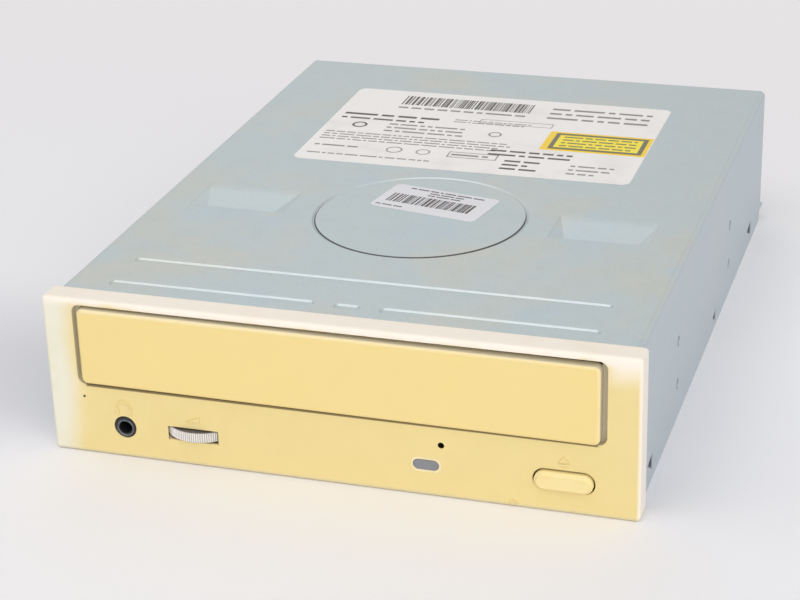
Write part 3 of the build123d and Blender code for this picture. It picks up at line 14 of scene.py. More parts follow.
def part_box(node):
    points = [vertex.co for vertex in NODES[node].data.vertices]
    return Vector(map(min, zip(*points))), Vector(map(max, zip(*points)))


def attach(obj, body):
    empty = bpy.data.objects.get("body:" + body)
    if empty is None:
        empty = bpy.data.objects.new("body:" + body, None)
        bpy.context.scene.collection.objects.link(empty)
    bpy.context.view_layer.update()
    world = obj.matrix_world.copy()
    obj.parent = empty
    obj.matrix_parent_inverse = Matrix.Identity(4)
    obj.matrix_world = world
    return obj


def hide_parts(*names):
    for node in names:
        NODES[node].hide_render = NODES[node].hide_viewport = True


bl_info = {
    "name": "CD-ROM drive",
    "version": (1, 0, 0),
    "blender": (4, 5, 0),
    "location": "View3D > Sidebar > Drive",
    "description": "Finishes and fine parts of a half-height CD-ROM drive",
    "category": "Object",
}

MM = 0.001
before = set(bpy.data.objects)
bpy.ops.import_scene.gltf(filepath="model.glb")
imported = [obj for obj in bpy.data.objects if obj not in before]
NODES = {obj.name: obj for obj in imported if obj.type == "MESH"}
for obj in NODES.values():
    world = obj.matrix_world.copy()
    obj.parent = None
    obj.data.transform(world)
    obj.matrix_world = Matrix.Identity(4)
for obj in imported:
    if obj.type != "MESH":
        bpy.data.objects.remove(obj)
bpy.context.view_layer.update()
FACE_Y = -98.6 * MM  # The bezel's flat front face. The source measures Y from it.


def linear(hex_colour):
    """An sRGB hex colour as linear red, green, blue and a full alpha."""
    channels = [int(hex_colour[i : i + 2], 16) / 255 for i in (1, 3, 5)]
    return [c / 12.92 if c <= 0.04045 else ((c + 0.055) / 1.055) ** 2.4 for c in channels] + [1.0]


def colour_setting(label, hex_colour, note):
    """A colour property with its default written as sRGB hex."""
    return FloatVectorProperty(
        name=label, description=note, subtype="COLOR", size=4, min=0, max=1, default=linear(hex_colour)
    )


def length_setting(label, size_mm, note):
    """A length property in metres with its default written in millimetres."""
    return FloatProperty(name=label, description=note, unit="LENGTH", default=size_mm * MM, precision=5)


def lamp_setting(label, watts, note):
    """A lamp's power in watts."""
    return FloatProperty(name=label, description=note, unit="POWER", default=watts)


# Nodes of the materials


def add_node(tree, kind, settings=None, output=0):
    """Adds a shader node and gives back one of its outputs.

    Each setting is a property of the node, a value for an input, or the output that feeds an input.
    """
    node = tree.nodes.new("ShaderNode" + kind)
    for name, value in (settings or {}).items():
        if isinstance(name, str) and hasattr(node, name):
            setattr(node, name, value)
        elif isinstance(value, bpy.types.NodeSocket):
            tree.links.new(value, node.inputs[name])
        else:
            node.inputs[name].default_value = value
    return node.outputs[output] if node.outputs else None


def start_finish(name):
    """The tree of a new empty material, and the object's coordinates."""
    material = bpy.data.materials.new(name)
    material.use_nodes = True
    material.node_tree.nodes.clear()
    return material.node_tree, add_node(material.node_tree, "TexCoord", output="Object")


def end_finish(tree, settings):
    """Ends a finish in its shaded surface."""
    add_node(tree, "OutputMaterial", {"Surface": add_node(tree, "BsdfPrincipled", settings)})


def off_axis(tree, coords, x, y):
    """The distance in metres from an upright axis at x and y in mm, with Y from the bezel's face."""
    axis = (x * MM, y * MM + FACE_Y, 0.0)
    arm = add_node(tree, "VectorMath", {"operation": "SUBTRACT", 0: coords, 1: axis})
    arm = add_node(tree, "VectorMath", {"operation": "MULTIPLY", 0: arm, 1: (1.0, 1.0, 0.0)})
    return add_node(tree, "VectorMath", {"operation": "LENGTH", 0: arm}, "Value")


def patches(tree, coords, size_mm, low, high, detail=3.0, stretch=None):
    """Soft patches about size_mm wide: 0 where the noise is under low, and 1 where it is over high."""
    if stretch:
        coords = add_node(tree, "Mapping", {"Vector": coords, "Scale": stretch})
    noise = add_node(
        tree, "TexNoise", {"Vector": coords, "Scale": 1 / (size_mm * MM), "Detail": detail, "Roughness": 0.55}
    )
    settings = {"interpolation_type": "SMOOTHSTEP", "From Min": low, "From Max": high, "Value": noise}
    return add_node(tree, "MapRange", settings)


def zone(tree, coords, *edges):
    """How far a point lies inside a zone, from 0 to 1.

    Each edge is an axis, where the zone is full and where it ends, in mm, with Y from the bezel's face.
    """
    share = None
    for axis, full, end in edges:
        start = FACE_Y if axis == "Y" else 0.0
        value = add_node(tree, "SeparateXYZ", {0: coords}, axis)
        step = add_node(
            tree, "MapRange",
            {"interpolation_type": "SMOOTHSTEP", "From Min": start + end * MM, "From Max": start + full * MM,
             "Value": value},
        )
        if share is not None:
            step = add_node(tree, "Math", {"operation": "MULTIPLY", 0: share, 1: step})
        share = step
    return share


def around(x0, x1, z0, z1, soft=0.2):
    """The edges of a zone round an opening in the bezel, which ends a soft width outside it."""
    return ("X", x0, x0 - soft), ("X", x1, x1 + soft), ("Z", z0, z0 - soft), ("Z", z1, z1 + soft)


def specks(tree, coords, places, radius_mm):
    """Round specks at (x, y, z) places in mm, with Y from the bezel's face."""
    found = None
    for x, y, z in places:
        place = (x * MM, y * MM + FACE_Y, z * MM)
        far = add_node(tree, "VectorMath", {"operation": "DISTANCE", 0: coords, 1: place}, "Value")
        inside = add_node(
            tree, "MapRange", {"From Min": radius_mm * MM, "From Max": 0.6 * radius_mm * MM, "Value": far}
        )
        found = inside if found is None else add_node(
            tree, "Math", {"operation": "MAXIMUM", 0: found, 1: inside}
        )
    return found


def lay_colours(tree, colour, layers):
    """Lays colours over a first one. Each layer is where it lies, how strongly, and its colour."""
    for where, strength, over in layers:
        share = add_node(tree, "Math", {"operation": "MULTIPLY", 0: where, 1: strength})
        colour = add_node(tree, "Mix", {"data_type": "RGBA", 0: share, 6: colour, 7: over}, 2)
    return colour


def relief(tree, edge_mm, heights):
    """The surface's normal, with edges worn round by edge_mm and bumps from (height, depth in mm) pairs."""
    normal = add_node(tree, "Bevel", {"samples": 4, "Radius": edge_mm * MM}) if edge_mm else None
    for height, depth in heights:
        settings = {"Strength": 1.0, "Distance": depth * MM, "Height": height}
        if normal:
            settings["Normal"] = normal
        normal = add_node(tree, "Bump", settings)
    return normal


def plain_finish(name, colour, shade, roughness, metallic=0.0, shade_mm=2, grain_mm=0.3, grain=0.01,
                 edge_mm=0.15, stretch=None, clear=0.0, ior=1.5):
    """A moulded, drawn or cast finish: a colour that drifts to a shade, a fine grain, and worn edges."""
    tree, coords = start_finish(name)
    drift = patches(tree, coords, shade_mm, 0.35, 0.7, 4)
    fine = patches(tree, coords, grain_mm, 0.3, 0.7, 3, stretch)
    low, high = roughness
    settings = {
        "Base Color": lay_colours(tree, linear(colour), [(drift, 1.0, linear(shade))]),
        "Roughness": add_node(tree, "MapRange", {"To Min": low, "To Max": high, "Value": fine}),
        "Metallic": metallic,
        "Normal": relief(tree, edge_mm, [(fine, grain)]),
    }
    if clear:
        settings["Transmission Weight"] = clear
    if not metallic:
        settings["IOR"] = ior
    end_finish(tree, settings)


def paint_nodes(names, material):
    """Gives frame nodes a finish through their material slots."""
    for name in names:
        slots = NODES[name].data.materials
        slots.clear()
        slots.append(bpy.data.materials[material])


# Shaping

LEG_THICKNESS = 0.14


def make_object(name, mesh, material):
    """Turns a bmesh into an object of one material."""
    data = bpy.data.meshes.new(name)
    mesh.to_mesh(data)
    mesh.free()
    data.materials.append(bpy.data.materials[material])
    made = bpy.data.objects.new(name, data)
    bpy.context.scene.collection.objects.link(made)
    return made


def new_piece(name, mesh, material, body, smooth_angle=35):
    """Makes a piece of a bmesh: merged, facing outward, smooth up to an angle, and riding on its body."""
    bmesh.ops.remove_doubles(mesh, verts=mesh.verts, dist=1e-7)
    bmesh.ops.recalc_face_normals(mesh, faces=mesh.faces)
    limit = math.radians(smooth_angle)
    for face in mesh.faces:
        face.smooth = True
    for edge in mesh.edges:
        edge.smooth = len(edge.link_faces) == 2 and edge.calc_face_angle(0) < limit
    piece = make_object(name, mesh, material)
    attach(piece, body)
    return piece


def only_verts(geometry):
    """The vertices among what an operator made."""
    return [item for item in geometry if isinstance(item, bmesh.types.BMVert)]


def add_block(mesh, low, high, round_mm):
    """Adds a block with chamfered edges between two corners in mm, with Y from the bezel's face."""
    made = bmesh.ops.create_cube(mesh, size=1.0)["verts"]
    bmesh.ops.scale(mesh, verts=made, vec=[(b - a) * MM for a, b in zip(low, high)])
    edges = list({edge for vert in made for edge in vert.link_edges})
    made = bmesh.ops.bevel(
        mesh, geom=edges, offset=round_mm * MM, segments=1, affect="EDGES", profile=0.5, material=-1
    )["verts"]
    middle = Vector([(a + b) / 2 * MM for a, b in zip(low, high)])
    bmesh.ops.translate(mesh, verts=made, vec=middle + Vector((0, FACE_Y, 0)))


def add_legs(mesh, edge, pitch, count, side, drop, width):
    """Adds a row of bent chip legs, each pushed out from one profile of foot, shin and shoulder.

    The row's middle is at edge (x, y and the board's z), and side is the angle that it faces. All in mm.
    """
    upper = drop + LEG_THICKNESS
    line = [(0.0, drop), (0.35, drop), (0.7, 0.0), (1.25, 0.0), (1.25, LEG_THICKNESS), (0.62, LEG_THICKNESS),
            (0.27, upper), (0.0, upper)]
    verts = [mesh.verts.new((out * MM, -width / 2 * MM, up * MM)) for out, up in line]
    far = only_verts(bmesh.ops.extrude_face_region(mesh, geom=[mesh.faces.new(verts)])["geom"])
    bmesh.ops.translate(mesh, verts=far, vec=(0, width * MM, 0))
    leg = verts + far
    faces = list({face for vert in leg for face in vert.link_faces})
    row = list(leg)
    for step in range(1, count):
        copy = only_verts(bmesh.ops.duplicate(mesh, geom=leg + faces)["geom"])
        bmesh.ops.translate(mesh, verts=copy, vec=(0, step * pitch * MM, 0))
        row += copy
    bmesh.ops.translate(mesh, verts=row, vec=(0, -(count - 1) / 2 * pitch * MM, 0))
    bmesh.ops.rotate(mesh, verts=row, cent=(0, 0, 0), matrix=Matrix.Rotation(math.radians(side), 3, "Z"))
    bmesh.ops.translate(mesh, verts=row, vec=Vector(edge) * MM + Vector((0, FACE_Y, 0)))


# Settings


class DriveStageSettings(bpy.types.PropertyGroup):
    """Lamps, daylight, floor and backdrop."""

    floor: colour_setting("Floor", "#FBFAFD", "Colour of the paper under the drive")
    # The dull floor colour is painted shadow beside the drive.
    floor_painted_shadow: colour_setting("Floor, dull", "#D6D6DB", "Colour of the paper where it lies in half shade")
    backdrop: colour_setting("Backdrop", "#E6E3E4", "Colour seen beyond the floor")
    daylight: FloatProperty(name="Daylight", description="Strength of the even light all round", default=0.5)
    front_lamp: lamp_setting("Front lamp", 3.0, "Power of the lamp high in front")
    back_lamp: lamp_setting("Back lamp", 1.4, "Power of the lamp high behind")
    side_lamp: lamp_setting("Side lamp", 24.5, "Power of the broad lamp in front, to the right")


class DriveFinishSettings(bpy.types.PropertyGroup):
    """Colours of the outer finishes."""

    zinc: colour_setting("Zinc plate", "#BFCACB", "Passivated zinc on the case")
    zinc_warm: colour_setting("Zinc, warm patches", "#CBC9BC", "Where the passivation has turned yellowish")
    zinc_cool: colour_setting("Zinc, cool patches", "#B7C9D2", "Where the passivation is bluish")
    cream: colour_setting("Cream ABS", "#FDF3E5", "The bezel's plastic where light has not reached it")
    pale: colour_setting("Pale ABS", "#EEEAD5", "The bezel's left edge, greyed by handling")
    yellowed: colour_setting("Yellowed ABS", "#EED997", "The bezel's plastic where it has aged")
    door: colour_setting("Yellowed door", "#F3DA91", "The tray door's plastic where it has aged")
    dust: colour_setting("Dust in the recess", "#D6CCB1", "Pale dust round the tray door")
    paper: colour_setting("Label paper", "#F8F5F2", "Coated paper of the main label")
    ink: colour_setting("Label ink", "#4A4743", "Dark print on the labels")
    signal: colour_setting("Yellow print", "#FFD92A", "Plain yellow block on the main label")


class DriveDetailSettings(bpy.types.PropertyGroup):
    """Sizes and counts of the fine parts."""

    print_height: length_setting("Print height", 0.03, "How far the print stands above its label")
    rim_width: length_setting("Window rim", 0.55, "Width of the rim round the lamp's window")
    wheel_ribs: IntProperty(name="Wheel ribs", description="Ribs round the volume wheel", default=108)
    leg_drop: length_setting("Leg drop", 0.6, "Height of a chip leg's shoulder over its foot")
    board_seed: IntProperty(name="Board seed", description="Lays out the small parts on the board", default=5)


# Outer finishes


# Side lances of the case: y from the bezel's face, lowest and highest z, and length, in mm.
LANCES = ((21.8, 2.2, 7.4, 6.4), (112.3, 1.5, 5.3, 5.6), (175.5, 1.8, 7.0, 9.0))
# Pressed ring of the cover: its axis, and the radius and half width of its painted shadow and highlight
# lines, in mm.
RING_X, RING_Y = 0.3, 72.6
RING_SHADOW_LINE, RING_HIGHLIGHT_LINE = (27.85, 0.22), (28.5, 0.24)


def ring_line(tree, radius, line, half):
    """A line round the pressed ring, drawn where the half zone lies."""
    line_radius, width = line
    off = add_node(tree, "Math", {"operation": "SUBTRACT", 0: radius, 1: line_radius * MM})
    off = add_node(tree, "Math", {"operation": "ABSOLUTE", 0: off})
    ring = add_node(tree, "MapRange", {"From Min": width * MM, "From Max": 0.5 * width * MM, "Value": off})
    return add_node(tree, "Math", {"operation": "MULTIPLY", 0: ring, 1: half})


def zinc_plate_material(chosen):
    """Electro-galvanised steel sheet, passivated, stamped and folded.

    The passivation gives soft bluish and yellowish clouds on a satin sheet, and its crystals a fine grey
    grain. Painted highlights lie on the ring, the beads, the pockets and the right top edge, and painted
    shade lies in the ring's groove and inside the lances.
    """
    tree, coords = start_finish("galvanised_steel_sheet")
    clouds = patches(tree, coords, 42, 0.47, 0.66, 3)
    cool = patches(tree, coords, 26, 0.5, 0.72, 3, (1.0, 1.3, 1.0))
    mottle = patches(tree, coords, 6, 0.4, 0.75, 4)
    # The zinc's crystals are under 0.1 mm. They are drawn at 0.5 mm so that they show at all.
    crystals = patches(tree, coords, 0.5, 0.3, 0.7, 2)
    # A painted highlight along the cover's right top edge.
    painted_edge_highlight = zone(tree, coords, ("X", 73.0, 71.6), ("Z", 41.1, 40.6))
    # Painted highlight: the slopes of the beads and of the ring that face up and to the front are drawn pale.
    facing = add_node(tree, "TexCoord", output="Normal")
    facing = add_node(
        tree, "VectorMath", {"operation": "DOT_PRODUCT", 0: facing, 1: (0.0, -0.7071, 0.7071)}, "Value"
    )
    painted_slope_highlight = add_node(tree, "MapRange", {"From Min": 0.86, "From Max": 0.96, "Value": facing})
    # The ring's groove has a painted shadow line on its front half and a painted highlight line on its back
    # half.
    radius = off_axis(tree, coords, RING_X, RING_Y)
    painted_groove_shadow = ring_line(tree, radius, RING_SHADOW_LINE, zone(tree, coords, ("Y", 74.0, 86.0)))
    painted_groove_highlight = ring_line(tree, radius, RING_HIGHLIGHT_LINE, zone(tree, coords, ("Y", 86.0, 74.0)))
    layers = []
    for side in (-1, 1):
        # Painted highlight on the pockets' ramps and end slopes.
        layers.append((zone(
            tree, coords, ("X", side * 36.2, side * 35.9), ("X", side * 62.8, side * 63.1), ("Y", 66.5, 66.2),
            ("Y", 78.0, 83.0), ("Z", 41.0, 41.38)
        ), 0.22, linear("#D6E2E6")))
        # The sides are a little bluer than the top, and the lances have painted shade inside.
        layers.append((zone(tree, coords, ("X", side * 72.95, side * 72.5)), 0.7, linear("#C3CDD3")))
        for y, low, high, length in LANCES:
            layers.append((zone(
                tree, coords, ("X", side * 72.6, side * 72.85), ("X", side * 70.0, side * 69.0),
                ("Y", y - length, y - length - 0.3), ("Y", y + 0.6, y + 0.8),
                ("Z", low, low - 0.3), ("Z", high, high + 0.3),
            ), 0.8, linear("#4C555E")))
    tint = lay_colours(
        tree, chosen.zinc,
        [(clouds, 0.55, chosen.zinc_warm), (cool, 0.5, chosen.zinc_cool), (mottle, 0.2, linear("#B2BDBE")),
         (crystals, 0.1, linear("#A3ADAE")), (painted_edge_highlight, 0.6, linear("#D5DEE2")),
         *layers, (painted_slope_highlight, 0.38, linear("#EAF1F2")), (painted_groove_shadow, 0.9, linear("#2B2620")),
         (painted_groove_highlight, 0.4, linear("#E4EDEE"))],
    )
    dents = patches(tree, coords, 16, 0.2, 0.8, 2)
    end_finish(tree, {
        "Base Color": tint,
        "Metallic": 0.5,
        "Roughness": add_node(tree, "MapRange", {"To Min": 0.46, "To Max": 0.56, "Value": crystals}),
        "Normal": relief(tree, 0.2, [(dents, 0.03), (crystals, 0.003)]),
    })


# Places on the bezel, in mm: X and Z round each opening that takes painted shade, and (x, y, z) of the dark
# specks.
PINHOLE = (25.5, 27.9, 12.8, 15.2)
BUTTON = (48.5, 64.3, 5.3, 11.6)
LAMP_WINDOW = (19.3, 26.5, 6.6, 10.2)
SPECKS = ((-65.2, 0.0, 15.7), (-74.55, 0.9, 2.2))
SPECK_RADIUS = 0.42


def aged_bezel_material(chosen):
    """Injection-moulded ABS with a fine sparked texture.

    Light has yellowed its front, and dust lies in the recess round the door. The gap under the door and
    the openings round the controls carry painted shade.
    """
    tree, coords = start_finish("aged_abs_bezel")
    wander = add_node(tree, "TexNoise", {"Vector": coords, "Scale": 70.0, "Detail": 2.0}, "Color")
    wander = add_node(tree, "VectorMath", {"operation": "SUBTRACT", 0: wander, 1: (0.5, 0.5, 0.5)})
    wander = add_node(tree, "VectorMath", {"operation": "MULTIPLY", 0: wander, 1: (0.005, 0.0, 0.005)})
    loose = add_node(tree, "VectorMath", {"operation": "ADD", 0: wander, 1: coords})
    front = ("Y", 0.5, 1.3)
    door_gap_shadow = (("X", -64.0, -64.8), ("X", 64.0, 64.8), ("Z", 18.7, 18.45), ("Z", 19.15, 19.3))
    recess = (("X", 66.9, 67.2), ("X", -66.9, -67.2), ("Z", 19.0, 18.8), ("Z", 40.45, 40.6))
    wheel_slot_shade = (("X", -42.4, -43.0), ("X", -31.0, -30.4), ("Z", 5.0, 4.6), ("Z", 12.0, 12.4))
    layers = [
        (zone(tree, coords, ("X", -70.0, -62.0), ("Z", 39.0, 41.5), front), 1.0, chosen.pale),
        (zone(tree, loose, ("X", -64.5, -71.5), ("Z", 39.0, 41.0), front), 1.0, chosen.yellowed),
        (patches(tree, coords, 8, 0.45, 0.8, 4), 0.12, linear("#D9C37E")),
        (zone(tree, coords, ("X", 74.3, 73.5)), 0.9, chosen.cream),
        (zone(tree, loose, ("X", 70.0, 63.0), ("Z", 40.0, 33.0), front), 0.75, chosen.cream),
        (zone(tree, coords, ("Z", 0.6, 1.4)), 0.5, linear("#D8CFB4")),
        # Painted shadow under the tray door.
        (zone(tree, coords, *door_gap_shadow), 0.85, linear("#5E4A20")),
        (zone(tree, coords, *recess, ("Y", 0.45, 0.2)), 1.0, chosen.dust),
        # Painted shade in the pinhole, the button's gap, round the lamp's window and in the wheel's slot.
        (zone(tree, coords, *around(*PINHOLE), ("Y", 0.25, 0.1)), 1.0, linear("#3A2210")),
        (zone(tree, coords, *around(*BUTTON), ("Y", 0.35, 0.15)), 1.0, linear("#43331B")),
        (zone(tree, coords, *around(*LAMP_WINDOW), ("Y", 0.3, 0.1)), 1.0, linear("#6A5B38")),
        (zone(tree, coords, *wheel_slot_shade, ("Y", 0.9, 0.6)), 1.0, linear("#16120D")),
        (specks(tree, coords, SPECKS, SPECK_RADIUS), 1.0, linear("#3B3123")),
    ]
    # A sparked texture is near 0.1 mm across. It is drawn at 0.45 mm so that it shows.
    grain = patches(tree, coords, 0.45, 0.3, 0.7, 2)
    end_finish(tree, {
        "Base Color": lay_colours(tree, chosen.cream, layers),
        "Roughness": 0.46,
        "IOR": 1.54,
        "Normal": relief(tree, 0.2, [(grain, 0.005)]),
    })


def aged_door_material(chosen):
    """The same moulded ABS on the tray door: yellowed in front, with a painted highlight on its rim, dusty on
    its sides.
    """
    tree, coords = start_finish("aged_abs_door")
    layers = [
        (patches(tree, coords, 26, 0.4, 0.7, 3), 0.3, linear("#F1DB9C")),
        # Painted highlight on the door's rounded top and right edges.
        (zone(tree, coords, ("Z", 39.6, 38.4)), 0.6, linear("#FAEBC8")),
        (zone(tree, coords, ("X", 65.2, 64.0)), 0.6, linear("#FAEBC8")),
        (zone(tree, coords, ("Y", -0.35, -0.75)), 1.0, chosen.dust),
    ]
    grain = patches(tree, coords, 0.45, 0.3, 0.7, 2)
    end_finish(tree, {
        "Base Color": lay_colours(tree, chosen.door, layers),
        "Roughness": 0.44,
        "IOR": 1.54,
        "Normal": relief(tree, 0.15, [(grain, 0.005)]),
    })


WHEEL_X, WHEEL_Y = -36.65, 8.2


def ribbed_wheel_material():
    """Moulded white acetal of the volume wheel, bright on its ribs, with painted shade between them and on
    its top.
    """
    tree, coords = start_finish("ribbed_acetal_wheel")
    radius = off_axis(tree, coords, WHEEL_X, WHEEL_Y)
    # Painted shade in the grooves between the ribs.
    groove = add_node(tree, "MapRange", {"From Min": 9.66 * MM, "From Max": 9.45 * MM, "Value": radius})
    faces = patches(tree, coords, 3, 0.4, 0.8)
    colour = lay_colours(
        tree, linear("#FFFDFA"),
        [(faces, 0.2, linear("#EFEBE4")), (groove, 0.6, linear("#9A9187")),
         # Painted shade on the wheel's top face.
         (zone(tree, coords, ("Z", 9.7, 9.6)), 0.85, linear("#3C3732"))]
    )
    end_finish(tree, {
        "Base Color": colour,
        "Roughness": 0.36,
        "IOR": 1.48,
        "Normal": relief(tree, 0.1, [(faces, 0.004)]),
    })


def label_paper_material(name, colour, shade):
    """Coated paper laid on with glue: an even satin white with faint grime and ripples."""
    tree, coords = start_finish(name)
    grime = patches(tree, coords, 12, 0.45, 0.8, 5)
    ripples = patches(tree, coords, 6, 0.2, 0.8)
    end_finish(tree, {
        "Base Color": lay_colours(tree, colour, [(grime, 0.4, shade)]),
        "Roughness": 0.42,
        "IOR": 1.47,
        "Normal": relief(tree, 0, [(ripples, 0.012)]),
    })


def ink_material(name, colour, worn):
    """Offset print: flat colour, a little thin where it is worn."""
    tree, coords = start_finish(name)
    thin = patches(tree, coords, 1.2, 0.5, 0.85)
    end_finish(tree, {"Base Color": lay_colours(tree, colour, [(thin, 0.8, worn)]), "Roughness": 0.45})


# The plain finishes: what each real one is, and the values that plain_finish takes for it.
PLAIN_FINISHES = {
    # Zinc-plated steel screws, rolled thread and pressed head: pale bluish metal.
    "plated_screw_steel": dict(
        colour="#B9BBB8", shade="#8F918C", roughness=(0.25, 0.4), metallic=1.0,
    ),
    # Nickel-plated brass ring, turned and handled: dull grey metal.
    "nickel_plated_ring": dict(
        colour="#74797E", shade="#5F646A", roughness=(0.3, 0.42), metallic=0.9, shade_mm=1, grain=0.002,
        edge_mm=0.05,
    ),
    # Ground and polished steel bar: bright, with fine rings round it.
    "ground_steel_bar": dict(
        colour="#D2D3D4", shade="#BFC1C3", roughness=(0.1, 0.2), metallic=1.0, shade_mm=8, grain_mm=0.25,
        grain=0.002,
    ),
    # Deep-drawn nickel-plated motor cans: soft drawn lines along the can.
    "drawn_motor_steel": dict(
        colour="#C2C1BC", shade="#A9A8A2", roughness=(0.22, 0.36), metallic=1.0, shade_mm=6, grain_mm=0.4,
        stretch=(1.0, 1.0, 0.15), grain=0.004,
    ),
    # Pressed zinc-plated strip under the cover: as the case, less weathered.
    "pressed_zinc_strip": dict(
        colour="#B9C2C3", shade="#A4ADAE", roughness=(0.32, 0.48), metallic=0.9, shade_mm=16, grain_mm=0.5,
        stretch=(0.08, 1.0, 1.0), grain=0.004,
    ),
    # Satin ABS of the eject button, moulded: yellowed like the bezel, polished by fingers.
    "satin_abs_button": dict(
        colour="#F6E2A4", shade="#F2DB95", roughness=(0.36, 0.44), shade_mm=9, grain_mm=0.5, grain=0.003,
        edge_mm=0.25, ior=1.54,
    ),
    # Cream ABS of the thin rim round the lamp's window, moulded.
    "satin_abs_rim": dict(
        colour="#F8EBC4", shade="#F3E3B2", roughness=(0.4, 0.5), shade_mm=4, grain_mm=0.4, grain=0.002,
        ior=1.54,
    ),
    # Smoked acrylic, moulded and polished: blue-grey.
    "smoked_acrylic": dict(
        colour="#898B90", shade="#7F838A", roughness=(0.3, 0.4), grain_mm=0.6, grain=0.002, ior=1.49,
    ),
    # Green epoxy of the lamp, cast: glossy and slightly see-through.
    "cast_epoxy_lamp": dict(
        colour="#7FA878", shade="#6B9566", roughness=(0.08, 0.16), shade_mm=1, grain_mm=0.5, grain=0.001,
        clear=0.4, ior=1.53,
    ),
    # Black glass-filled polyester, moulded: satin with a fine fleck.
    "moulded_black_polyester": dict(
        colour="#1B1C1F", shade="#26272B", roughness=(0.38, 0.55), shade_mm=9, grain_mm=0.35, grain=0.006,
    ),
    # Charcoal ABS of the tray, moulded with a matt sparked texture.
    "sparked_tray_abs": dict(
        colour="#2B2C2F", shade="#35363A", roughness=(0.48, 0.62), shade_mm=22, grain_mm=0.4, grain=0.012,
        ior=1.54,
    ),
    # Black polycarbonate of the lifting chassis, moulded: satin with flow marks.
    "moulded_chassis_pc": dict(
        colour="#1E1F21", shade="#292A2C", roughness=(0.34, 0.5), shade_mm=12, grain_mm=0.5, grain=0.005,
        ior=1.58,
    ),
    # Natural acetal of the gears and white connectors, moulded: waxy off-white.
    "natural_acetal": dict(
        colour="#E9E6D8", shade="#DAD6C4", roughness=(0.3, 0.42), shade_mm=4, grain_mm=0.5, grain=0.003,
        ior=1.48,
    ),
    # Turned brass: yellow with turning rings.
    "turned_brass": dict(
        colour="#D9B96A", shade="#C3A050", roughness=(0.18, 0.3), metallic=1.0, grain_mm=0.2, grain=0.003,
    ),
    # Die-cast zinc of the pickup: grey with a cold cast skin.
    "die_cast_zinc": dict(
        colour="#A9ABAE", shade="#8E9094", roughness=(0.36, 0.55), metallic=0.9, shade_mm=4, grain_mm=0.4,
        grain=0.012,
    ),
    # Moulded nitrile rubber: dull black with a dusty bloom.
    "moulded_nitrile": dict(
        colour="#1C1C1C", shade="#2C2B2A", roughness=(0.7, 0.85), shade_mm=3, ior=1.52,
    ),
    # Nickel-plated sintered magnet: bright with a slightly pitted skin.
    "plated_magnet": dict(
        colour="#B5B3AE", shade="#9C9A94", roughness=(0.2, 0.32), metallic=1.0, shade_mm=3, grain=0.006,
    ),
    # Moulded epoxy of the chips: dull black, slightly brown.
    "moulded_epoxy_chip": dict(
        colour="#1B1A1A", shade="#262423", roughness=(0.55, 0.7), shade_mm=3, grain_mm=0.25, grain=0.008,
        ior=1.55,
    ),
    # Gold flash over phosphor bronze pins, stamped: bright yellow.
    "gold_flash": dict(
        colour="#E3C271", shade="#CFA954", roughness=(0.15, 0.25), metallic=1.0, grain=0.002,
    ),
    # Carbon-loaded thermoplastic of the volume control: grey brown.
    "control_phenolic": dict(
        colour="#6B6257", shade="#5B5348", roughness=(0.45, 0.6), grain=0.006,
    ),
    # Tinned copper, dipped: pale grey, uneven and bright.
    "dipped_tin": dict(
        colour="#CFCFCB", shade="#B4B4AE", roughness=(0.2, 0.4), metallic=1.0, shade_mm=1.5, grain_mm=0.4,
    ),
    # Fired ceramic of the small capacitors and resistors: matt tan.
    "fired_ceramic": dict(
        colour="#8C7355", shade="#6E5A44", roughness=(0.5, 0.65), shade_mm=5, grain=0.004, ior=1.6,
    ),
}


def flat_cable_material():
    """Laminated polyester flat cable: white and smooth, its tinned strips showing through 1 mm apart."""
    tree, coords = start_finish("flat_cable_polyester")
    across = add_node(tree, "SeparateXYZ", {0: coords}, "X")
    strips = add_node(tree, "Math", {"operation": "PINGPONG", 0: across, 1: 0.5 * MM})
    strips = add_node(
        tree, "MapRange", {"interpolation_type": "SMOOTHSTEP", "From Min": 0.2 * MM, "From Max": 0.3 * MM,
                           "Value": strips}
    )
    end_finish(tree, {
        "Base Color": lay_colours(tree, linear("#ECECE8"), [(strips, 0.8, linear("#BDBFBF"))]),
        "Roughness": 0.3,
        "IOR": 1.6,
        "Normal": relief(tree, 0, [(strips, 0.02)]),
    })


def lens_material():
    """Moulded glass lens with a thin coating: clear, with a faint blue sheen."""
    tree, coords = start_finish("coated_lens_glass")
    tint = patches(tree, coords, 1.5, 0.3, 0.7, 2)
    end_finish(tree, {
        "Base Color": lay_colours(tree, linear("#9FB4DC"), [(tint, 1.0, linear("#B7C3E6"))]),
        "Roughness": 0.03,
        "Transmission Weight": 0.8,
        "IOR": 1.52,
    })


def circuit_board_material():
    """Glass-epoxy board, etched and printed: green solder mask over copper tracks, which show lighter."""
    tree, coords = start_finish("masked_glass_epoxy")
    tracks = add_node(
        tree, "TexBrick",
        {"offset": 0.35, "squash": 1.6, "squash_frequency": 3, "Vector": coords, "Scale": 1 / MM,
         "Mortar Size": 0.16, "Mortar Smooth": 0.1, "Brick Width": 7.0, "Row Height": 0.9},
        "Fac",
    )
    area = patches(tree, coords, 16, 0.45, 0.5, 1)
    tracks = add_node(tree, "Math", {"operation": "MULTIPLY", 0: tracks, 1: area})
    drift = patches(tree, coords, 20, 0.4, 0.7)
    colour = lay_colours(
        tree, linear("#1E5B3B"), [(tracks, 1.0, linear("#2F7A4F")), (drift, 0.4, linear("#174B31"))]
    )
    end_finish(tree, {
        "Base Color": colour,
        "Roughness": 0.28,
        "IOR": 1.55,
        "Normal": relief(tree, 0.1, [(tracks, 0.03)]),
    })


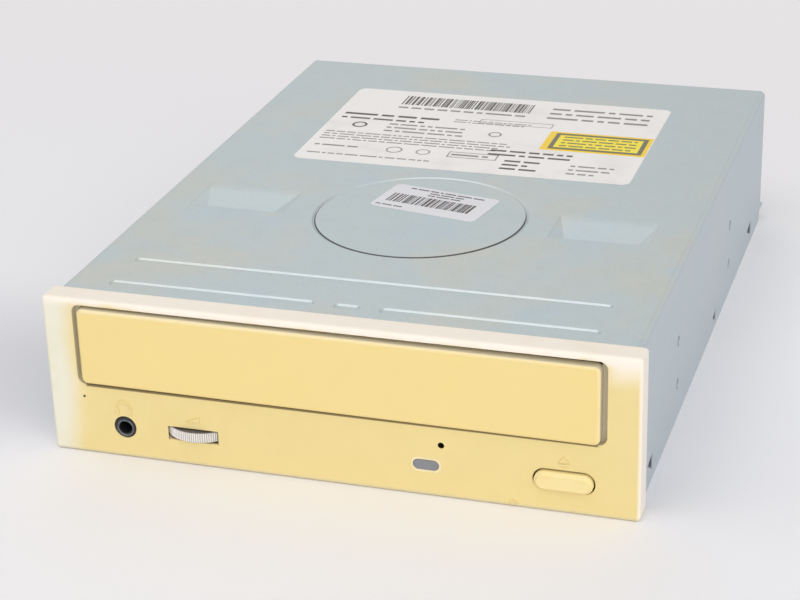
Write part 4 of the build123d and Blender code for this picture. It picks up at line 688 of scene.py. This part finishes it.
# Which finish each frame node takes, by the material's name.
NODE_FINISHES = {
    "galvanised_steel_sheet": ("top_cover", "bottom_plate"),
    "aged_abs_bezel": ("bezel",),
    "aged_abs_door": ("tray_door",),
    "plated_screw_steel": ("case_screws", "bridge_screws", "board_screws", "traverse_screws"),
    "ground_steel_bar": ("guide_rods", "power_pins"),
    "drawn_motor_steel": ("spindle_motor", "feed_motor", "loading_motor", "clamp_plate"),
    "pressed_zinc_strip": ("clamp_bridge",),
    "satin_abs_button": ("eject_button",),
    "ribbed_acetal_wheel": ("volume_wheel",),
    "smoked_acrylic": ("lamp_window",),
    "cast_epoxy_lamp": ("lamp",),
    "moulded_black_polyester": (
        "headphone_jack", "main_frame", "clamper", "turntable", "lens_holder", "data_connector",
        "jumper_block", "eject_switch", "cam_slider", "emergency_lever",
    ),
    "sparked_tray_abs": ("tray",),
    "moulded_chassis_pc": ("traverse_chassis",),
    "natural_acetal": (
        "drive_gear", "pulley_gear", "motor_pulley", "feed_gear", "pickup_rack", "switch_plunger",
        "power_connector", "audio_connector",
    ),
    "turned_brass": ("feed_pinion",),
    "die_cast_zinc": ("pickup_body",),
    "moulded_nitrile": ("drive_belt", "traverse_dampers", "turntable_rubber"),
    "plated_magnet": ("turntable_magnet",),
    "coated_lens_glass": ("lens",),
    "masked_glass_epoxy": ("main_board", "front_board"),
    "moulded_epoxy_chip": ("chips",),
    "gold_flash": ("data_pins",),
    "flat_cable_polyester": ("front_cable",),
    "control_phenolic": ("volume_control",),
    "coated_label_paper": ("rating_label",),
    "coated_sticker_paper": ("small_label",),
}


class DRIVE_OT_finishes(bpy.types.Operator):
    """Makes every finish and gives it to the frame's nodes"""

    bl_idname = "drive.finishes"
    bl_label = "Finishes"

    def execute(self, context):
        chosen = context.scene.drive_finish
        zinc_plate_material(chosen)
        aged_bezel_material(chosen)
        aged_door_material(chosen)
        ribbed_wheel_material()
        flat_cable_material()
        lens_material()
        circuit_board_material()
        label_paper_material("coated_label_paper", chosen.paper, linear("#DDD8D2"))
        label_paper_material("coated_sticker_paper", linear("#E6E5E9"), linear("#D6D4DA"))
        ink_material("label_ink", chosen.ink, linear("#6E6A64"))
        ink_material("pale_label_ink", linear("#89857F"), linear("#AEAAA4"))
        ink_material("yellow_label_ink", chosen.signal, linear("#F6CF3C"))
        ink_material("lemon_label_ink", linear("#FFEB2E"), linear("#FAE548"))
        ink_material("grey_label_ink", linear("#6E6B52"), linear("#827E60"))
        for name, values in PLAIN_FINISHES.items():
            plain_finish(name, **values)
        for name, nodes in NODE_FINISHES.items():
            paint_nodes(nodes, name)
        return {"FINISHED"}


# Print on the labels


class PrintedArea:
    """Print on a label: thin shapes in the label's own axes, turned and lifted onto it."""

    def __init__(self, label, turn, height):
        low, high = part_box(label)
        self.middle, self.top = (low + high) / 2, high.z
        self.mesh, self.turn, self.height = bmesh.new(), turn, height

    def bar(self, x0, x1, y0, y1):
        """One printed bar, given in mm from the label's middle."""
        made = bmesh.ops.create_cube(self.mesh, size=1.0)["verts"]
        bmesh.ops.scale(self.mesh, verts=made, vec=((x1 - x0) * MM, (y1 - y0) * MM, self.height))
        middle = ((x0 + x1) / 2 * MM, (y0 + y1) / 2 * MM, self.height / 2)
        bmesh.ops.translate(self.mesh, verts=made, vec=middle)

    def stripes(self, x0, x1, y0, y1, seed):
        """A block of upright stripes of one to four widths, which stands for no number."""
        draws = random.Random(seed)
        x, unit = x0, 0.19
        while x < x1 - unit:
            width = unit * draws.choice((1, 1, 1, 2, 2, 3, 4))
            self.bar(x, min(x + width, x1), y0, y1)
            x += width + unit * draws.choice((1, 1, 2, 2, 3))

    def rows(self, x0, x1, y, count, pitch, tall, seed, spread=0.25):
        """Rows of plain dashes in place of lines of text, each row of its own length."""
        draws = random.Random(seed)
        for row in range(count):
            low = y - row * pitch - 0.3 * tall
            x, end = x0, x1 - draws.uniform(0, spread) * (x1 - x0)
            while x < end - 0.5 * tall:
                width = min(tall * draws.choice((0.9, 1.6, 2.4, 3.2, 4.2)), end - x)
                self.bar(x, x + width, low, low + 0.6 * tall)
                x += width + 0.55 * tall

    def outline(self, x0, x1, y0, y1, line):
        """A rectangle drawn with a line."""
        self.bar(x0, x1, y0, y0 + line)
        self.bar(x0, x1, y1 - line, y1)
        self.bar(x0, x0 + line, y0 + line, y1 - line)
        self.bar(x1 - line, x1, y0 + line, y1 - line)

    def ring(self, x, y, radius, line):
        """A round outline, plain inside: a flat sheet at the height of the print."""
        outer = bmesh.ops.create_circle(self.mesh, segments=28, radius=radius * MM)["verts"]
        rim = list({edge for vert in outer for edge in vert.link_edges})
        inner = only_verts(bmesh.ops.extrude_edge_only(self.mesh, edges=rim)["geom"])
        share = (radius - line) / radius
        bmesh.ops.scale(self.mesh, verts=inner, vec=(share, share, 1.0))
        bmesh.ops.translate(self.mesh, verts=outer + inner, vec=(x * MM, y * MM, self.height))

    def finish(self, name, material, lift=0.0):
        """Turns the print into place and makes it a piece."""
        place = Matrix.Translation((self.middle.x, self.middle.y, self.top + lift))
        place = place @ Matrix.Rotation(math.radians(self.turn), 4, "Z")
        bmesh.ops.transform(self.mesh, verts=self.mesh.verts, matrix=place)
        new_piece(name, self.mesh, material, "case")


class DRIVE_OT_label_print(bpy.types.Operator):
    """Prints the main label and the small sticker with plain generic marks"""

    bl_idname = "drive.label_print"
    bl_label = "Label print"

    def execute(self, context):
        height = context.scene.drive_detail.print_height
        yellow = PrintedArea("rating_label", 0, height)
        yellow.bar(18.1, 48.4, -9.6, 5.8)
        yellow.finish("label_yellow_block", "yellow_label_ink")
        lemon = PrintedArea("rating_label", 0, height)
        lemon.bar(21.4, 46.0, -7.2, 3.4)
        lemon.finish("label_lemon_field", "lemon_label_ink", height)
        grey = PrintedArea("rating_label", 0, height)
        grey.outline(20.2, 47.2, -8.4, 4.6, 1.3)
        grey.rows(23.0, 45.5, 1.7, 4, 2.4, 1.3, 61, 0.1)
        grey.finish("label_block_outline", "grey_label_ink", 2 * height)
        dark = PrintedArea("rating_label", 0, height)
        dark.stripes(-32.0, 8.0, 19.6, 27.4, 11)
        dark.rows(-46.0, -16.0, 8.4, 1, 3.0, 2.4, 3, 0.1)
        dark.rows(-46.0, -20.0, 4.8, 1, 3.0, 1.9, 4, 0.05)
        dark.ring(-38.5, -0.8, 2.3, 0.7)
        dark.rows(5.0, 30.0, -13.4, 2, 3.1, 1.9, 9, 0.1)
        dark.rows(11.0, 25.0, -21.0, 3, 3.0, 1.9, 29, 0.5)
        dark.finish("label_dark_print", "label_ink")
        pale = PrintedArea("rating_label", 0, height)
        pale.rows(14.0, 46.5, 25.0, 3, 4.0, 2.2, 5, 0.12)
        pale.rows(-32.0, 8.0, 16.8, 1, 1, 1.9, 13, 0.02)
        pale.rows(-12.0, 14.0, 9.4, 2, 1.7, 0.9, 71, 0.3)
        pale.rows(-30.0, -4.0, 1.6, 3, 2.9, 1.6, 7, 0.2)
        pale.rows(-46.5, 10.0, -8.0, 4, 2.0, 1.1, 17, 0.06)
        pale.outline(-4.5, 17.5, 8.2, 11.6, 0.25)
        pale.ring(-22.0, -19.4, 2.4, 0.45)
        pale.ring(-13.4, -19.4, 2.1, 0.4)
        pale.ring(2.8, -0.6, 2.0, 0.5)
        pale.outline(-6.0, 8.5, -21.6, -17.2, 0.35)
        pale.rows(-5.0, 7.5, -19.4, 1, 1, 1.9, 19, 0.1)
        pale.rows(30.0, 44.0, -21.0, 3, 3.0, 1.5, 31, 0.6)
        pale.rows(-46.0, -32.0, -19.6, 1, 1, 1.6, 37, 0.1)
        pale.rows(-46.0, -8.0, -26.2, 1, 1, 1.2, 39, 0.2)
        pale.finish("label_pale_print", "pale_label_ink")
        turned = PrintedArea("small_label", -10.9, height)
        turned.stripes(-13.0, 12.0, -3.9, 2.0, 41)
        turned.rows(-10.5, 12.0, 6.7, 1, 1, 1.0, 43, 0.02)
        turned.rows(-4.0, 6.5, 5.1, 2, 1.5, 0.9, 47, 0.1)
        turned.rows(-14.4, -6.0, -6.6, 1, 1, 0.9, 53, 0.1)
        turned.finish("sticker_print", "label_ink")
        return {"FINISHED"}


# Trim on the front

WINDOW_HALF_WIDTH, WINDOW_HALF_HEIGHT = 3.25, 1.35
RIM_DEPTH, RIM_PROUD = 0.16, 0.06
CORNER_STEPS = 12
SOCKET_X = -54.8
# Radius of the socket's ring and its distance behind the jack's own face, in mm, round its section.
SOCKET_RING = ((1.78, 0.3), (2.3, 0.3), (2.3, -0.04), (2.2, -0.1), (1.95, -0.1), (1.78, 0.06))
SOCKET_STEPS = 40


class DRIVE_OT_front_trim(bpy.types.Operator):
    """Fits the rim of the lamp's window and the metal ring of the headphone socket"""

    bl_idname = "drive.front_trim"
    bl_label = "Front trim"

    def window_rim(self, width):
        """A thin rim: the window's pill-shaped outline, widened and given its depth."""
        low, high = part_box("lamp_window")
        middle = (low + high) / 2
        half_wide, half_tall = WINDOW_HALF_WIDTH * MM, WINDOW_HALF_HEIGHT * MM
        rim = bmesh.new()
        inner = []
        for side in (1, -1):
            for step in range(CORNER_STEPS + 1):
                angle = side * math.pi * (0.5 - step / CORNER_STEPS)
                across = side * (half_wide - half_tall + half_tall * math.cos(angle))
                inner.append(rim.verts.new((across, 0, half_tall * math.sin(angle))))
        edges = [rim.edges.new(pair) for pair in zip(inner, inner[1:] + inner[:1])]
        outer = only_verts(bmesh.ops.extrude_edge_only(rim, edges=edges)["geom"])
        bmesh.ops.scale(
            rim, verts=outer, vec=((half_wide + width) / half_wide, 1.0, (half_tall + width) / half_tall)
        )
        back = only_verts(bmesh.ops.extrude_face_region(rim, geom=list(rim.faces))["geom"])
        bmesh.ops.translate(rim, verts=back, vec=(0, RIM_DEPTH * MM, 0))
        bmesh.ops.translate(rim, verts=rim.verts, vec=(middle.x, FACE_Y - RIM_PROUD * MM, middle.z))
        new_piece("lamp_window_rim", rim, "satin_abs_rim", "case")

    def socket_ring(self):
        """A turned ring: its section, spun about the socket's axis."""
        low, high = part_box("headphone_jack")
        place = Vector((SOCKET_X * MM, low.y, (low.z + high.z) / 2))
        ring = bmesh.new()
        section = [ring.verts.new((radius * MM, 0, behind * MM)) for radius, behind in SOCKET_RING]
        edges = [ring.edges.new(pair) for pair in zip(section, section[1:] + section[:1])]
        bmesh.ops.spin(
            ring, geom=section + edges, cent=(0, 0, 0), axis=(0, 0, 1), angle=math.tau, steps=SOCKET_STEPS,
            use_merge=True,
        )
        turn = Matrix.Translation(place) @ Matrix.Rotation(-math.pi / 2, 4, "X")
        bmesh.ops.transform(ring, verts=ring.verts, matrix=turn)
        new_piece("socket_ring", ring, "nickel_plated_ring", "case")

    def execute(self, context):
        self.window_rim(context.scene.drive_detail.rim_width)
        self.socket_ring()
        return {"FINISHED"}


# Volume wheel, radii and edge in mm: a ribbed rim between two faces, a dished top, and a bore for its shaft.
WHEEL_BORE, WHEEL_DISH, WHEEL_SHOULDER, WHEEL_RIM = 1.5, 7.3, 9.3, 9.7
WHEEL_DISH_EDGE = 7.6
WHEEL_EDGE = 0.3
GROOVE_SHARE = 0.965  # A groove's floor, as a share of the rim's radius.


class DRIVE_OT_volume_wheel(bpy.types.Operator):
    """Makes the volume wheel with its fine ribs, in place of the frame's wheel"""

    bl_idname = "drive.volume_wheel"
    bl_label = "Volume wheel"

    def execute(self, context):
        ribs = context.scene.drive_detail.wheel_ribs
        low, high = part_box("volume_wheel")
        middle = (low + high) / 2
        bottom, top, edge = low.z, high.z, WHEEL_EDGE * MM
        levels = (
            (WHEEL_BORE, bottom), (WHEEL_SHOULDER, bottom), (WHEEL_RIM, bottom + edge),
            (WHEEL_RIM, top - edge), (WHEEL_SHOULDER, top), (WHEEL_DISH_EDGE, top), (WHEEL_DISH, top - edge),
            (WHEEL_BORE, top - edge),
        )
        wheel = bmesh.new()
        loops = []
        for radius, height in levels:
            ring = bmesh.ops.create_circle(wheel, segments=2 * ribs, radius=radius * MM)["verts"]
            if radius == WHEEL_RIM:
                bmesh.ops.scale(wheel, verts=ring[::2], vec=(GROOVE_SHARE, GROOVE_SHARE, 1.0))
            bmesh.ops.translate(wheel, verts=ring, vec=(middle.x, middle.y, height))
            loops.append(list({edge for vert in ring for edge in vert.link_edges}))
        for lower, upper in zip(loops, loops[1:] + loops[:1]):
            bmesh.ops.bridge_loops(wheel, edges=lower + upper)
        piece = new_piece(
            "ribbed_volume_wheel", wheel, "ribbed_acetal_wheel", "volume_wheel", 25
        )
        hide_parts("volume_wheel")
        return {"FINISHED"}


# Chips on the main board, as in the source: x, y from the bezel's face, width, length and height in mm.
CHIPS = (
    (-18.0, 128.0, 20.0, 20.0, 1.6),
    (22.0, 132.0, 14.0, 20.0, 1.6),
    (-20.0, 158.0, 18.0, 11.0, 2.0),
    (14.0, 160.0, 12.0, 12.0, 1.6),
    (44.0, 150.0, 9.0, 7.0, 1.6),
    (-44.0, 132.0, 8.0, 6.0, 1.6),
    (38.0, 110.0, 11.0, 7.0, 1.6),
)
BOARD_TOP = 4.6
FINE_CHIP = 12.0  # Chips at least this wide and long have fine legs on all four sides.
FINE_LEGS, COARSE_LEGS = (0.8, 0.36), (1.27, 0.44)  # Pitch and width in mm.
BARE_ENDS = 1.6  # What a row of legs leaves free of its side, both ends together.
# The small ceramic parts, in mm: half length and width, height, and where on the board they may lie.
CERAMIC_COUNT = 70
CERAMIC_HALVES, CERAMIC_HEIGHT, CERAMIC_ROUND = (1.0, 0.6), 0.65, 0.08
CERAMIC_X, CERAMIC_Y = (-58, 58), (104, 180)
CAP_REACH, CAP_PROUD, CAP_ROUND = 0.3, 0.03, 0.12
# How far they keep from a chip's edge, from a board screw and from each other, in mm.
CHIP_GAP, SCREW_GAP, CERAMIC_GAP = 2.6, 4.5, 2.2
SCREW_PLACES = ((-58.0, 164.0), (58.0, 164.0))


class DRIVE_OT_board_parts(bpy.types.Operator):
    """Solders the chips' legs and the small ceramic parts onto the main board"""

    bl_idname = "drive.board_parts"
    bl_label = "Board parts"

    def chip_legs(self, drop):
        """Legs along two or four sides of each chip, on its longer sides where it has two."""
        legs = bmesh.new()
        for x, y, wide, long, height in CHIPS:
            ends = [(90, x, y + long / 2, wide), (270, x, y - long / 2, wide)]
            sides = [(0, x + wide / 2, y, long), (180, x - wide / 2, y, long)]
            fine = wide >= FINE_CHIP and long >= FINE_CHIP
            pitch, width = FINE_LEGS if fine else COARSE_LEGS
            if fine:
                sides += ends
            elif wide > long:
                sides = ends
            for side, edge_x, edge_y, span in sides:
                count = int((span - BARE_ENDS) / pitch)
                add_legs(legs, (edge_x, edge_y, BOARD_TOP), pitch, count, side, drop, width)
        new_piece("chip_legs", legs, "dipped_tin", "case")

    def ceramic_parts(self, seed):
        """Small parts strewn over the board, clear of the chips and screws, with a metal cap at each end."""
        draws = random.Random(seed)
        bodies, caps = bmesh.new(), bmesh.new()
        taken = [(x, y, wide / 2 + CHIP_GAP, long / 2 + CHIP_GAP) for x, y, wide, long, height in CHIPS]
        taken += [(x, y, SCREW_GAP, SCREW_GAP) for x, y in SCREW_PLACES]
        placed = 0
        top = BOARD_TOP + CERAMIC_HEIGHT
        while placed < CERAMIC_COUNT:
            x, y = draws.uniform(*CERAMIC_X), draws.uniform(*CERAMIC_Y)
            if any(abs(x - cx) < w and abs(y - cy) < l for cx, cy, w, l in taken):
                continue
            taken.append((x, y, CERAMIC_GAP, CERAMIC_GAP))
            placed += 1
            half_x, half_y = CERAMIC_HALVES if draws.random() < 0.5 else CERAMIC_HALVES[::-1]
            low, high = (x - half_x, y - half_y, BOARD_TOP), (x + half_x, y + half_y, top)
            add_block(bodies, low, high, CERAMIC_ROUND)
            for end in (-1, 1):
                if half_x > half_y:
                    cap_x, cap_y = x + end * half_x, y
                    reach_x, reach_y = CAP_REACH, half_y + CAP_PROUD
                else:
                    cap_x, cap_y = x, y + end * half_y
                    reach_x, reach_y = half_x + CAP_PROUD, CAP_REACH
                low = (cap_x - reach_x, cap_y - reach_y, BOARD_TOP)
                add_block(caps, low, (cap_x + reach_x, cap_y + reach_y, top + CAP_PROUD), CAP_ROUND)
        new_piece("ceramic_parts", bodies, "fired_ceramic", "case")
        new_piece("ceramic_part_ends", caps, "dipped_tin", "case")

    def execute(self, context):
        chosen = context.scene.drive_detail
        self.chip_legs(chosen.leg_drop / MM)
        self.ceramic_parts(chosen.board_seed)
        return {"FINISHED"}


# The camera of the photograph, in the frame's axes: place, and right, down and forward of the picture.
CAMERA_PLACE = Vector((154.376, -517.002, 247.595)) * MM
CAMERA_RIGHT = Vector((0.953976, 0.298590, -0.027799))
CAMERA_DOWN = Vector((0.097839, -0.397531, -0.912358))
CAMERA_FORWARD = Vector((-0.283472, 0.867648, -0.408449))
SENSOR = 36.0
PICTURE_WIDTH = 800
FOCAL_PIXELS = 2100.46
LENS = FOCAL_PIXELS / PICTURE_WIDTH * SENSOR
# Place and width of each lamp in metres.
LAMPS = {
    "front_lamp": ((-0.35, -0.55, 1.15), 0.8),
    "back_lamp": ((-0.45, 1.0, 1.05), 0.8),
    "side_lamp": ((1.1, -1.7, 1.05), 2.2),
}
FLOOR_RADIUS = 4.0


def make_area_lamp(name, place, size, power):
    """A square lamp that faces the drive."""
    data = bpy.data.lights.new(name, "AREA")
    data.shape, data.size, data.energy = "SQUARE", size, power
    lamp = bpy.data.objects.new(name, data)
    lamp.location = place
    lamp.rotation_euler = (Vector((0, 0, 0.02)) - Vector(place)).to_track_quat("-Z", "Y").to_euler()
    bpy.context.scene.collection.objects.link(lamp)


class DRIVE_OT_stage(bpy.types.Operator):
    """Sets up the camera, the lamps, the floor and the world"""

    bl_idname = "drive.stage"
    bl_label = "Stage"

    def camera(self, scene):
        """The camera at the photograph's own place and angle."""
        data = bpy.data.cameras.new("camera")
        data.sensor_width, data.lens = SENSOR, LENS
        data.clip_start, data.clip_end = 0.01, 20
        camera = bpy.data.objects.new("camera", data)
        axes = Matrix((CAMERA_RIGHT, -CAMERA_DOWN, -CAMERA_FORWARD)).transposed()
        camera.matrix_world = Matrix.Translation(CAMERA_PLACE) @ axes.to_4x4()
        scene.collection.objects.link(camera)
        scene.camera = camera
        scene.view_settings.view_transform = "Standard"

    def room(self, scene, chosen):
        """An even white light, which the camera, glass and gloss see as the backdrop's colour."""
        world = bpy.data.worlds.new("pale_room")
        world.use_nodes = True
        tree = world.node_tree
        tree.nodes.clear()
        seen = None
        for ray in ("Is Camera Ray", "Is Glossy Ray", "Is Transmission Ray"):
            path = add_node(tree, "LightPath", output=ray)
            seen = add_node(tree, "Math", {"operation": "MAXIMUM", 0: seen, 1: path}) if seen else path
        lit = add_node(tree, "Background", {"Color": linear("#FFFFFF"), "Strength": chosen.daylight})
        shown = add_node(tree, "Background", {"Color": chosen.backdrop, "Strength": 1.0})
        mixed = add_node(tree, "MixShader", {0: seen, 1: lit, 2: shown})
        add_node(tree, "OutputWorld", {"Surface": mixed})
        scene.world = world

    def floor_material(self, chosen):
        """Seamless paper, with a painted shadow of the drive beside it, darkest to its left."""
        tree, coords = start_finish("seamless_paper")
        # A painted shadow: the paper is duller in a band beside the drive, most of all to its left.
        near = (("Y", 22.0, -12.0), ("Y", 40.0, 105.0), ("X", -130.0, -300.0), ("X", 130.0, 300.0))
        dull = zone(tree, coords, *near)
        dull_left = zone(tree, coords, *near, ("X", -40.0, 80.0))
        drift = patches(tree, coords, 300, 0.3, 0.7, 2)
        colour = lay_colours(
            tree, chosen.floor,
            [(dull, 0.1, chosen.floor_painted_shadow), (dull_left, 0.6, chosen.floor_painted_shadow),
             (drift, 0.15, linear("#EFEEF4"))],
        )
        paper = add_node(tree, "BsdfPrincipled", {"Base Color": colour, "Roughness": 0.7})
        # Far behind the drive the paper fades into the backdrop, for the camera alone.
        glow = add_node(tree, "Emission", {"Color": chosen.backdrop, "Strength": 1.0})
        seen = add_node(tree, "LightPath", output="Is Camera Ray")
        fade = zone(tree, coords, ("Y", 420.0, 110.0))
        fade = add_node(tree, "Math", {"operation": "MULTIPLY", 0: fade, 1: seen})
        surface = add_node(tree, "MixShader", {0: fade, 1: paper, 2: glow})
        add_node(tree, "OutputMaterial", {"Surface": surface})

    def floor(self):
        """A round sheet of paper under the drive."""
        mesh = bmesh.new()
        bmesh.ops.create_circle(mesh, cap_ends=True, segments=96, radius=FLOOR_RADIUS)
        make_object("floor", mesh, "seamless_paper")

    def execute(self, context):
        scene = context.scene
        chosen = scene.drive_stage
        self.camera(scene)
        for name, (place, width) in LAMPS.items():
            make_area_lamp(name, place, width, getattr(chosen, name))
        self.room(scene, chosen)
        self.floor_material(chosen)
        self.floor()
        return {"FINISHED"}


class DRIVE_PT_panel(bpy.types.Panel):
    """Sidebar panel that lists the drive's settings and the buttons of its steps"""

    bl_idname = "DRIVE_PT_panel"
    bl_label = "CD-ROM drive"
    bl_space_type = "VIEW_3D"
    bl_region_type = "UI"
    bl_category = "Drive"

    def draw(self, context):
        for group in (context.scene.drive_stage, context.scene.drive_finish, context.scene.drive_detail):
            box = self.layout.box()
            for name in group.__annotations__:
                box.prop(group, name)
        for operator in OPERATORS:
            self.layout.operator(operator.bl_idname)


OPERATORS = (
    DRIVE_OT_finishes, DRIVE_OT_label_print, DRIVE_OT_front_trim, DRIVE_OT_volume_wheel,
    DRIVE_OT_board_parts, DRIVE_OT_stage,
)
SETTINGS = {
    "drive_stage": DriveStageSettings,
    "drive_finish": DriveFinishSettings,
    "drive_detail": DriveDetailSettings,
}


def register():
    """Registers the settings, operators and panel."""
    for name, group in SETTINGS.items():
        bpy.utils.register_class(group)
        setattr(bpy.types.Scene, name, PointerProperty(type=group))
    for one in (*OPERATORS, DRIVE_PT_panel):
        bpy.utils.register_class(one)


def unregister():
    """Takes them out again."""
    for one in (DRIVE_PT_panel, *reversed(OPERATORS)):
        bpy.utils.unregister_class(one)
    for name, group in SETTINGS.items():
        delattr(bpy.types.Scene, name)
        bpy.utils.unregister_class(group)


def main():
    """Builds everything in order."""
    register()
    for operator in OPERATORS:
        family, name = operator.bl_idname.split(".")
        getattr(getattr(bpy.ops, family), name)()


if __name__ == "__main__":
    main()
